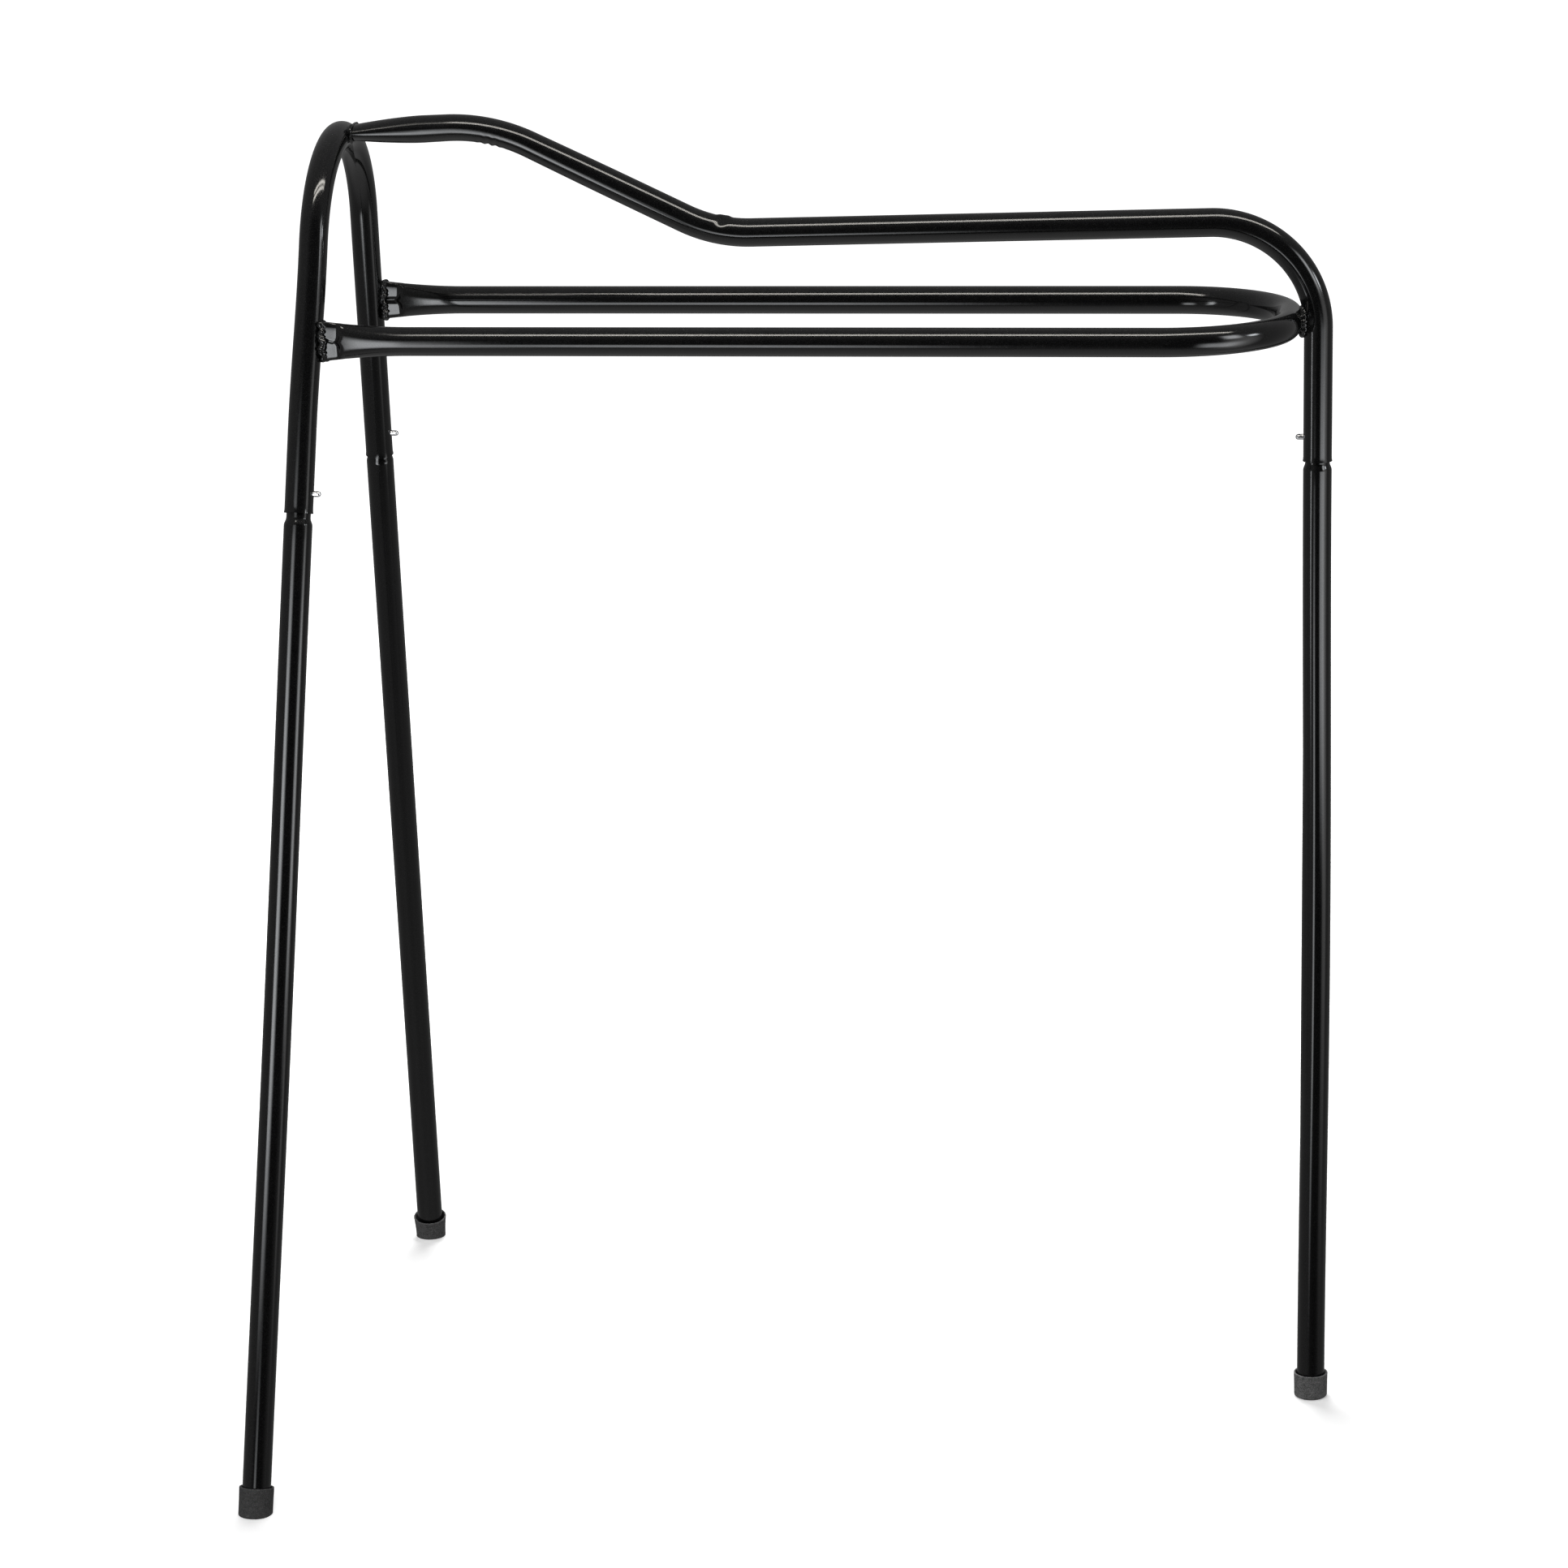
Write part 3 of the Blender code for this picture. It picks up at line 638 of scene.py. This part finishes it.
def build_leg(leg):
    """Lower leg: a tube, bowed a hair, whose top is swaged down to a neck that plugs in above."""
    foot = LEG_FOOT[leg["name"]]
    low = leg["shoulder"] - SHOULDER_LOW
    high = leg["shoulder"] + SHOULDER_HIGH
    top = leg["shoulder"] + NECK_LENGTH
    profile = [(TUBE_R - LEG_EDGE, foot), (TUBE_R, foot + LEG_EDGE)]
    for step in range(1, LEG_RUNS):
        profile.append((TUBE_R, foot + (low - foot) * step / LEG_RUNS))
    for step in range(SHOULDER_RUNS + 1):
        share = step / SHOULDER_RUNS
        draw = float(smooth(share))
        profile.append((TUBE_R + (NECK_R - TUBE_R) * draw, low + (high - low) * share))
    profile += [(NECK_R, high + NECK_EVEN), (NECK_R, top - NECK_END[1]),
                (NECK_R - NECK_END[0], top), (NECK_BORE_R + NECK_BORE_END[0], top),
                (NECK_BORE_R, top - NECK_BORE_END[1]), (NECK_BORE_R, high),
                (TUBE_R - WALL, low - BORE_DROP), (TUBE_R - WALL, foot)]
    obj = turned("leg_" + leg["name"] + "_tube", profile, leg["matrix"], True)
    facing = leg["matrix"].to_3x3().col[0]
    for vert in obj.data.vertices:
        share = min(max((vert.co - leg["floor"]).dot(leg["up"]) / leg["shoulder"], 0.0), 1.0)
        vert.co += facing * (LEG_BOW[leg["name"]] * math.sin(math.pi * share) ** 2)
    cut_hole(obj, leg["button"], DRILL_NECK_INNER, DRILL_OUTER)
    body = "leg_" + leg["name"]
    return dress(obj, powder_coat("coat_" + body), body, "leg_" + leg["name"])


def build_cap(leg):
    """Rubber cap: a cup on the leg's end, with a slightly open rim and a sole on the floor."""
    name = leg["name"]
    tilted = leg["up"].z < UPRIGHT
    cup, rim = CAP_SIZES[name]
    bottom = -CAP_SPARE if tilted else 0.0
    sole_top = LEG_FOOT[name] - GAP if tilted else CAP_SOLE
    profile = [(0.0, bottom)]
    for step in range(1, CAP_RUNS + 1):
        profile.append(((cup - CAP_CORNER_R) * step / CAP_RUNS, bottom))
    for step in range(1, CAP_RUNS + 1):
        angle = math.pi / 2.0 * step / CAP_RUNS
        profile.append((cup - CAP_CORNER_R * (1.0 - math.sin(angle)),
                        bottom + CAP_CORNER_R * (1.0 - math.cos(angle))))
    lip_r = rim - CAP_RIM_R
    lip_z = CAP_HIGH - CAP_RIM_R
    for step in range(1, 2 * CAP_RUNS + 1):
        share = step / (2 * CAP_RUNS)
        swell = cup + (rim - cup) * share * share
        profile.append((swell, bottom + CAP_CORNER_R + (lip_z - bottom - CAP_CORNER_R) * share))
    for step in range(1, CAP_RUNS + 1):
        angle = math.pi * step / CAP_RUNS
        profile.append((lip_r + CAP_RIM_R * math.cos(angle), lip_z + CAP_RIM_R * math.sin(angle)))
    bore = TUBE_R + GAP
    profile += [(lip_r - CAP_LIP[0], CAP_HIGH - CAP_LIP[1]),
                (bore + CAP_BORE_SLACK, CAP_HIGH - CAP_BORE_TOP), (bore, CAP_HIGH - CAP_GRIP),
                (bore, sole_top), (0.0, sole_top)]
    obj = turned("foot_cap_" + name + "_rubber", profile, leg["matrix"], False)
    up = leg["up"]
    for vert in obj.data.vertices:
        if vert.co.z < 0.0:
            vert.co += up * (-vert.co.z / up.z)  # back along the leg, onto the floor
    obj.data.update()
    # each cap gets its own grey, with painted light on top of the rubber's own grey: paler where more
    # light falls on the cap
    material = rubber("rubber_" + name, RUBBER_TONE_AND_PAINTED_LIGHT[name])
    return dress(obj, material, "leg_" + name, "foot_cap_" + name, SOFT_EDGE_ANGLE)


def build_button(leg):
    """Snap button: a flanged pin with a round end that stands out of the socket's wall."""
    profile = [(0.0, FLANGE_INNER), (FLANGE_R - FLANGE_EDGE, FLANGE_INNER),
               (FLANGE_R, FLANGE_INNER + FLANGE_EDGE), (FLANGE_R, FLANGE_OUTER - FLANGE_EDGE),
               (FLANGE_R - FLANGE_EDGE, FLANGE_OUTER), (PIN_R, FLANGE_OUTER)]
    for step in range(PIN_ROUND_STEPS):
        angle = math.pi / 2.0 * step / PIN_ROUND_STEPS
        profile.append((PIN_R * math.cos(angle), PIN_TIP - PIN_R + PIN_R * math.sin(angle)))
    profile.append((0.0, PIN_TIP))
    name = leg["name"]
    obj = turned("snap_button_" + name + "_pin", profile, leg["button"], False, "X")
    return dress(obj, chrome("chrome_" + name), "button_" + name, "snap_button_" + name)


def build_spring(leg):
    """Flat spring: a pad behind the button, a slanting arm, a bend and a back arm."""
    line = [Vector((SPRING_PAD_X, 0.0, SPRING_PAD_Z[0])),
            Vector((SPRING_PAD_X, 0.0, SPRING_PAD_Z[1])),
            Vector((SPRING_BEND_X, 0.0, SPRING_BEND_Z)),
            Vector((SPRING_BACK_X, 0.0, SPRING_BEND_Z)),
            Vector((SPRING_BACK_X, 0.0, SPRING_BACK_Z))]
    points, marks = resample(fillet(line, SPRING_BEND_R), SPRING_STEP)
    tangent = np.gradient(points, axis=0)
    tangent /= np.linalg.norm(tangent, axis=1)[:, None]
    out = np.cross(tangent, np.array((0.0, 1.0, 0.0)))
    half = SPRING_THICK / 2.0
    edge = SPRING_WIDE / 2.0
    inner_edge = edge - SPRING_EDGE
    inner_half = half - SPRING_EDGE
    outline = [(inner_edge, -half), (edge, -inner_half), (edge, inner_half), (inner_edge, half),
               (0.0, half), (-inner_edge, half), (-edge, inner_half), (-edge, -inner_half),
               (-inner_edge, -half), (0.0, -half)]
    rings = []
    for place, normal, mark in zip(points, out, marks):
        end = min(mark, marks[-1] - mark)
        square = 1.0 - max(1.0 - end / edge, 0.0) ** 2
        narrow = math.sqrt(max(square, SPRING_END_SQUARE))
        for side, depth in outline:
            local = Vector(place) + Vector((0.0, side * narrow, 0.0)) + Vector(normal) * depth
            rings.append(tuple(leg["button"] @ local))
    count = len(outline)
    faces = grid_faces(len(points), count)
    faces += [tuple(range(count)), tuple(range(len(rings) - count, len(rings)))]
    name = leg["name"]
    obj = make("snap_spring_" + name + "_strip", rings, faces)
    dress(obj, spring_steel("spring_" + name), "leg_" + name, "snap_spring_" + name,
          SOFT_EDGE_ANGLE)
    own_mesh(obj)
    return obj


# ================================================================ frame tubes

def round_tube(turn, marks):
    """Offsets of a plain round section at every ring."""
    return (TUBE_R * np.cos(turn) * np.ones_like(marks),
            TUBE_R * np.sin(turn) * np.ones_like(marks))


def lip(end):
    """Extra radius near a saw-cut end, from how far each ring is from it."""
    return LIP_FLARE * np.clip(1.0 - end / LIP_LENGTH, 0.0, 1.0) ** 2


def set_back(point):
    """A point of the arch's line, moved back where the crown is bent."""
    low, high = ARCH_SET_Z
    right, left = ARCH_SET_Y
    rise = float(smooth((point.z - low) / (high - low)))
    over = float(smooth((right - point.y) / (right - left)))
    return point + Vector((ARCH_SET * rise * over, 0.0, 0.0))


def arch_line(left, right):
    """Centreline of the arch: up one leg's line, round the top and down the other's."""
    across = left["floor"].y / (left["up"].y / left["up"].z)
    apex = left["floor"] + left["up"] * (-across / left["up"].z)
    start = left["floor"] + left["up"] * (SOCKET_LEFT_Z / left["up"].z)
    end = right["floor"] + right["up"] * (SOCKET_RIGHT_Z / right["up"].z)
    half = (-left["up"]).angle(-right["up"]) / 2.0
    plane = Vector((left["up"].x, 0.0, left["up"].z)).normalized()
    drop = (apex.z - (ARCH_HIGH.z - TUBE_R)) / plane.z
    radius = drop / (1.0 / math.sin(half) - 1.0)
    line, _ = resample(fillet([start, apex, end], [radius]), STEP)
    return [set_back(Vector(point)) for point in line]


def build_arch(left, right):
    """Front arch: plain round tube, with a lip and a button's hole at each socket."""
    def outline(marks, total, turn):
        grow = 1.0 + lip(np.minimum(marks, total - marks)) / TUBE_R
        wide, high = round_tube(turn, marks)
        return wide * grow, high * grow

    up = left["up"]
    across = Vector((up.z, 0.0, -up.x)).normalized()
    obj = sweep("front_arch_tube", arch_line(left, right), across, outline)
    for leg in (left, right):
        cut_hole(obj, leg["button"], NECK_BORE_R, DRILL_OUTER)
    dress(obj, powder_coat("coat_arch"), "frame", "front_arch")


def rail_line(start_x):
    """Centreline of the top rail and the post below its rear end."""
    corners = [Vector((start_x, 0.0, RAIL_START_Z)),
               Vector((RAIL_CREST[0], 0.0, RAIL_CREST[1])),
               Vector((RAIL_DIP[0], 0.0, RAIL_DIP[1])),
               Vector((POST_X, 0.0, RAIL_CORNER_Z)),
               Vector((POST_X, 0.0, SOCKET_REAR_Z))]
    return fillet(corners, RAIL_BEND_R)


def mark_at(points, x):
    """How far along a line it first passes that X."""
    even, marks = resample(points, STEP)
    return float(marks[np.argmax(even[:, 0] >= x)])


def build_rail(rear):
    """Top rail and rear post: pinched front end, flattened crest, folded dip, rear bend."""
    points = rail_line(RAIL_LOW.x - RAIL_REACH)
    crest = mark_at(points, RAIL_CREST[0])
    fold = mark_at(points, RAIL_DIP[0]) + FOLD_AHEAD

    def outline(marks, total, turn):
        wide, high = round_tube(turn, marks)
        share = np.clip((RAIL_PINCH_END - marks) / (RAIL_PINCH_END - RAIL_PINCH_FLAT), 0.0, 1.0)
        share = share ** RAIL_PINCH_FADE
        wide = wide * (1.0 + (RAIL_PINCH_WIDE / (2.0 * TUBE_R) - 1.0) * share)
        high = high * (1.0 + (RAIL_PINCH_HIGH / (2.0 * TUBE_R) - 1.0) * share)
        oval = CREST_OVAL * bell((marks - crest) / CREST_REACH)
        high = high * (1.0 - oval)
        wide = wide * (1.0 + CREST_WIDEN * oval)
        top = -np.sin(turn)
        under = np.clip(-top, 0.0, 1.0) ** 2
        ripple = RIPPLE_HIGH * np.sin(2.0 * math.pi * (marks - crest) / RIPPLE_PITCH)
        grow = ripple * bell((marks - crest) / RIPPLE_REACH) * under
        rise = np.degrees(np.arcsin(np.clip(top, 0.0, 1.0)))
        dent = between(rise, *DENT_ANGLES) * (1.0 - between(rise, *DENT_FADE_ANGLES))
        hump = between(rise, *HUMP_ANGLES)
        level = 1.0 - smooth((np.abs(marks - fold) - HUMP_FLAT) / HUMP_REACH)
        grow = grow + HUMP_HIGH * level * hump
        grow = grow - DENT_DEEP * bell((marks - fold + DENT_BACK) / DENT_REACH) * dent
        grow = grow + lip(total - marks)
        return wide * (1.0 + grow / TUBE_R), high * (1.0 + grow / TUBE_R)

    obj = sweep("top_rail_post_tube", points, (0.0, 1.0, 0.0), outline, FINE_STEP)
    cut_hole(obj, rear["button"], NECK_BORE_R, DRILL_OUTER)
    dress(obj, powder_coat("coat_rail"), "frame", "top_rail_post")


def build_loop():
    """Side rails: one hairpin of tube whose two ends are pressed flat and tall at the arch."""
    left_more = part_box("weld_loop_left")[0].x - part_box("weld_loop_right")[0].x
    corners = [Vector((LOOP_LOW.x + left_more, LEFT * LOOP_HALF_WIDTH, LOOP_Z)),
               Vector((LOOP_BACK_X, LEFT * LOOP_HALF_WIDTH, LOOP_Z)),
               Vector((LOOP_BACK_X, RIGHT * LOOP_HALF_WIDTH, LOOP_Z)),
               Vector((LOOP_LOW.x, RIGHT * LOOP_HALF_WIDTH, LOOP_Z))]

    def outline(marks, total, turn):
        end = np.minimum(marks, total - marks)
        share = np.clip(1.0 - end / LOOP_PRESS_END, 0.0, 1.0) ** LOOP_PRESS_FADE
        tall = TUBE_R * (1.0 + (LOOP_PRESS_HIGH / (2.0 * TUBE_R) - 1.0) * share)
        thin = TUBE_R * (1.0 + (LOOP_PRESS_WIDE / (2.0 * TUBE_R) - 1.0) * share)
        far = marks > total / 2.0
        crease = np.where(far, LOOP_CREASE[1], LOOP_CREASE[0])
        crease_wide = np.where(far, LOOP_CREASE_WIDE[1], LOOP_CREASE_WIDE[0])
        level = np.cos(turn) * tall
        waist = LOOP_WAIST * bell(level / LOOP_WAIST_HIGH)
        slant = np.where(far, LOOP_SLANT, 0.0) * np.clip(-level / tall, 0.0, 1.0)
        flat = 1.0 - smooth((end + waist - slant - LOOP_FLAT) / LOOP_FLAT_RAMP)
        thin = thin + (LOOP_PRESS_WIDE / 2.0 - thin) * flat
        cosine, sine = np.cos(turn), np.sin(turn)
        power = LOOP_POWER + LOOP_POWER_PRESSED * share + LOOP_POWER_FLAT * flat
        reach = (np.abs(cosine / tall) ** power + np.abs(sine / thin) ** power) ** (-1.0 / power)
        wide, high = reach * cosine, reach * sine
        sway = np.where(far, LOOP_CREASE_SWAY[1], LOOP_CREASE_SWAY[0])
        mid = LOOP_CREASE_OFF + sway * np.sin(end * LOOP_CREASE_TURNS)
        valley = np.clip(1.0 - np.abs(wide - mid) / crease_wide, 0.0, 1.0) * crease
        tent = LOOP_TENT * np.clip(np.abs(wide - mid) / tall, 0.0, 1.0)
        high = high - np.sign(sine) * flat * np.abs(sine) * (valley + tent)
        return wide, high

    obj = sweep("side_rail_loop_tube", fillet(corners, (LOOP_BEND_R, LOOP_BEND_R)),
                (0.0, 0.0, 1.0), outline, FINE_STEP)
    dress(obj, powder_coat("coat_loop"), "frame", "side_rail_loop")


def build_bead(node, centre_x):
    """Weld bead: a lumpy ring of overlapping ripples round the end of a tube."""
    low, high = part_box(node)
    radius = BEAD_R[node]
    middle = (low + high) / 2.0
    half_wide = (high.y - low.y) / 2.0 - radius
    half_high = (high.z - low.z) / 2.0 - radius
    end = min(half_wide, half_high)
    corners = []
    for step in range(BEAD_CORNER_STEPS + 1):
        angle = 2.0 * math.pi * (step + 0.5) / BEAD_CORNER_STEPS
        across, up = math.cos(angle), math.sin(angle)
        corners.append((middle.y + end * across + math.copysign(half_wide - end, across),
                        middle.z + end * up + math.copysign(half_high - end, up), across, up))
    corners = np.array(corners)
    run = np.concatenate(([0.0], np.cumsum(np.hypot(*np.diff(corners[:, :2], axis=0).T))))
    marks = run[-1] * np.arange(BEAD_RINGS) / BEAD_RINGS
    rings = np.column_stack([np.interp(marks, run, column) for column in corners.T])
    points = []
    for ring, (y, z, across, up) in enumerate(rings.tolist()):
        outward = Vector((0.0, across, up)).normalized()
        centre = Vector((centre_x, y, z))
        uneven = BEAD_UNEVEN * noise.noise(centre * BEAD_UNEVEN_SCALE)
        ripple = abs(math.sin(math.pi * BEAD_RIPPLES * ring / BEAD_RINGS + uneven)) - 0.5
        scallop = BEAD_SCALLOP * BEAD_LUMP[node] * ripple
        for side in range(BEAD_SIDES):
            turn = 2.0 * math.pi * side / BEAD_SIDES
            way = outward * math.cos(turn) + Vector((math.sin(turn), 0.0, 0.0))
            surface = centre + way * radius
            lump = noise.noise(surface * BEAD_LUMP_SCALE) * BEAD_LUMP[node]
            fine = noise.noise(surface * BEAD_FINE_SCALE) * BEAD_FINE
            points.append(tuple(centre + way * radius * (BEAD_FILL[node] + scallop + lump + fine)))
    obj = make(node + "_bead", points, grid_faces(BEAD_RINGS, BEAD_SIDES, True))
    dress(obj, powder_coat("coat_" + node, BEAD_ROUGH, BEAD_PEEL), "frame", node,
          BEAD_EDGE_ANGLE)


def build_frame(left, right, rear):
    """The welded upper frame: its three tubes and four beads."""
    build_arch(left, right)
    build_rail(rear)
    build_loop()
    for node in ("weld_top_rail", "weld_loop_left", "weld_loop_right"):
        build_bead(node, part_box(node)[1].x - BEAD_R[node])
    build_bead("weld_loop_post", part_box("weld_loop_post")[0].x + BEAD_R["weld_loop_post"])


# ================================================================ studio

def white_glow(name):
    """Plain white light."""
    mat = bpy.data.materials.new(name)
    mat.use_nodes = True
    tree = mat.node_tree
    tree.nodes.clear()
    glow = tree.nodes.new("ShaderNodeEmission")
    glow.inputs["Color"].default_value = WHITE
    glow.inputs["Strength"].default_value = 1.0
    out = tree.nodes.new("ShaderNodeOutputMaterial")
    tree.links.new(glow.outputs["Emission"], out.inputs["Surface"])
    return mat


def floor_material():
    """White paper that is nearly burnt out, so only shade close to a foot shows on it."""
    mat = bpy.data.materials.new("white_floor")
    mat.use_nodes = True
    shader = mat.node_tree.nodes["Principled BSDF"]
    shader.inputs["Base Color"].default_value = (FLOOR_TONE, FLOOR_TONE, FLOOR_TONE, 1.0)
    shader.inputs["Roughness"].default_value = 0.9
    shader.inputs["Specular IOR Level"].default_value = 0.0
    shader.inputs["Emission Color"].default_value = WHITE
    tree = mat.node_tree
    place = tree.nodes.new("ShaderNodeTexCoord")
    away = tree.nodes.new("ShaderNodeVectorMath")
    away.operation = "LENGTH"
    tree.links.new(place.outputs["Object"], away.inputs[0])
    glow = map_range(tree, away.outputs["Value"], FLOOR_NEAR, FLOOR_FAR, *FLOOR_GLOW)
    tree.links.new(glow, shader.inputs["Emission Strength"])
    return mat


def build_studio():
    """White floor and a white dome behind it, which the gloss does not mirror."""
    bpy.ops.mesh.primitive_circle_add(vertices=96, radius=STUDIO_R, fill_type="NGON")
    floor = bpy.context.active_object
    floor.name = "studio_floor"
    floor.data.materials.append(floor_material())
    floor.visible_glossy = False
    floor.visible_diffuse = False
    bpy.ops.mesh.primitive_uv_sphere_add(segments=64, ring_count=32, radius=STUDIO_R)
    dome = bpy.context.active_object
    dome.name = "studio_dome"
    dome.data.materials.append(white_glow("white_dome"))
    dome.visible_glossy = False
    dome.visible_diffuse = False
    dome.visible_shadow = False


def build_world():
    """A dim room in front of the stand, paler to its sides and below, as its gloss mirrors it."""
    world = bpy.data.worlds.new("studio_world")
    bpy.context.scene.world = world
    world.use_nodes = True
    tree = world.node_tree
    place = tree.nodes.new("ShaderNodeTexCoord")
    facing = tree.nodes.new("ShaderNodeVectorMath")
    facing.operation = "DOT_PRODUCT"
    facing.inputs[1].default_value = Vector(ROOM_FRONT).normalized()
    tree.links.new(place.outputs["Generated"], facing.inputs[0])
    split = tree.nodes.new("ShaderNodeSeparateXYZ")
    tree.links.new(place.outputs["Generated"], split.inputs["Vector"])
    side = map_range(tree, facing.outputs["Value"], *ROOM_SIDE_COSINES, ROOM_DARK, ROOM_SIDE,
                     "SMOOTHSTEP")
    below = map_range(tree, split.outputs["Z"], *ROOM_LOW_SINES, 0.0, ROOM_LOW, "SMOOTHSTEP")
    back = tree.nodes["Background"]
    back.inputs["Color"].default_value = WHITE
    tree.links.new(calculate(tree, "ADD", side, below), back.inputs["Strength"])


def card_material(name, fade, brightness, colour):
    """Light that fades to nothing at the card's edges, and lets the room show through it."""
    mat = bpy.data.materials.new(name)
    mat.use_nodes = True
    tree = mat.node_tree
    tree.nodes.clear()
    place = tree.nodes.new("ShaderNodeTexCoord")
    split = tree.nodes.new("ShaderNodeSeparateXYZ")
    tree.links.new(place.outputs["UV"], split.inputs["Vector"])
    fades = []
    for axis in ("X", "Y"):
        off = calculate(tree, "SUBTRACT", split.outputs[axis], CARD_MIDDLE)
        size = calculate(tree, "ABSOLUTE", off)
        fades.append(map_range(tree, size, CARD_MIDDLE, fade, 0.0, 1.0, "SMOOTHSTEP"))
    level = calculate(tree, "MULTIPLY", calculate(tree, "MULTIPLY", *fades), brightness)
    glow = tree.nodes.new("ShaderNodeEmission")
    glow.inputs["Color"].default_value = (*colour, 1.0)
    tree.links.new(level, glow.inputs["Strength"])
    clear = tree.nodes.new("ShaderNodeBsdfTransparent")
    mixed = tree.nodes.new("ShaderNodeAddShader")
    tree.links.new(glow.outputs["Emission"], mixed.inputs[0])
    tree.links.new(clear.outputs["BSDF"], mixed.inputs[1])
    out = tree.nodes.new("ShaderNodeOutputMaterial")
    tree.links.new(mixed.outputs["Shader"], out.inputs["Surface"])
    return mat


def build_cards():
    """The cards of light, which only reflections show."""
    for name, centre, facing, roll, width, height, fade, brightness, colour in CARDS:
        bpy.ops.mesh.primitive_plane_add(size=1.0)
        card = bpy.context.active_object
        card.name = name
        card.data.materials.append(card_material(name, fade, brightness, colour))
        turn = Vector(facing).to_track_quat("Z", "Y").to_matrix().to_4x4()
        turn = turn @ Matrix.Rotation(math.radians(roll), 4, "Z")
        card.matrix_world = (Matrix.Translation(Vector(centre)) @ turn
                             @ Matrix.Diagonal((width, height, 1.0, 1.0)))
        card.visible_camera = False
        card.visible_diffuse = False
        card.visible_shadow = False


def build_lamps():
    """The wide lamps, aimed at the middle of the floor and not mirrored by the gloss."""
    for name, place, size, power in LAMPS:
        light = bpy.data.lights.new(name, "AREA")
        light.shape = "DISK"
        light.size = size
        light.energy = power
        lamp = bpy.data.objects.new(name, light)
        lamp.location = place
        lamp.rotation_euler = Vector(place).to_track_quat("Z", "Y").to_euler()
        lamp.visible_camera = False
        lamp.visible_glossy = False
        bpy.context.scene.collection.objects.link(lamp)


def build_camera():
    """The long lens that looks at the stand from its left side."""
    data = bpy.data.cameras.new("camera")
    data.lens = CAMERA_LENS
    data.sensor_width = SENSOR
    data.clip_end = CAMERA_FAR
    camera = bpy.data.objects.new("camera", data)
    turn = (Matrix.Rotation(CAMERA_YAW, 3, "Z")
            @ Matrix.Rotation(math.pi / 2.0 - CAMERA_PITCH, 3, "X")
            @ Matrix.Rotation(CAMERA_ROLL, 3, "Z"))
    camera.matrix_world = Matrix.Translation(Vector(CAMERA_PLACE)) @ turn.to_4x4()
    bpy.context.scene.collection.objects.link(camera)
    bpy.context.scene.camera = camera


def main():
    bpy.context.scene.view_settings.view_transform = "Standard"
    build_camera()
    build_studio()
    build_world()
    build_cards()
    build_lamps()
    legs = leg_layout()
    build_frame(*legs)
    for leg in legs:
        build_leg(leg)
        build_cap(leg)
        build_button(leg)
        build_spring(leg)


main()
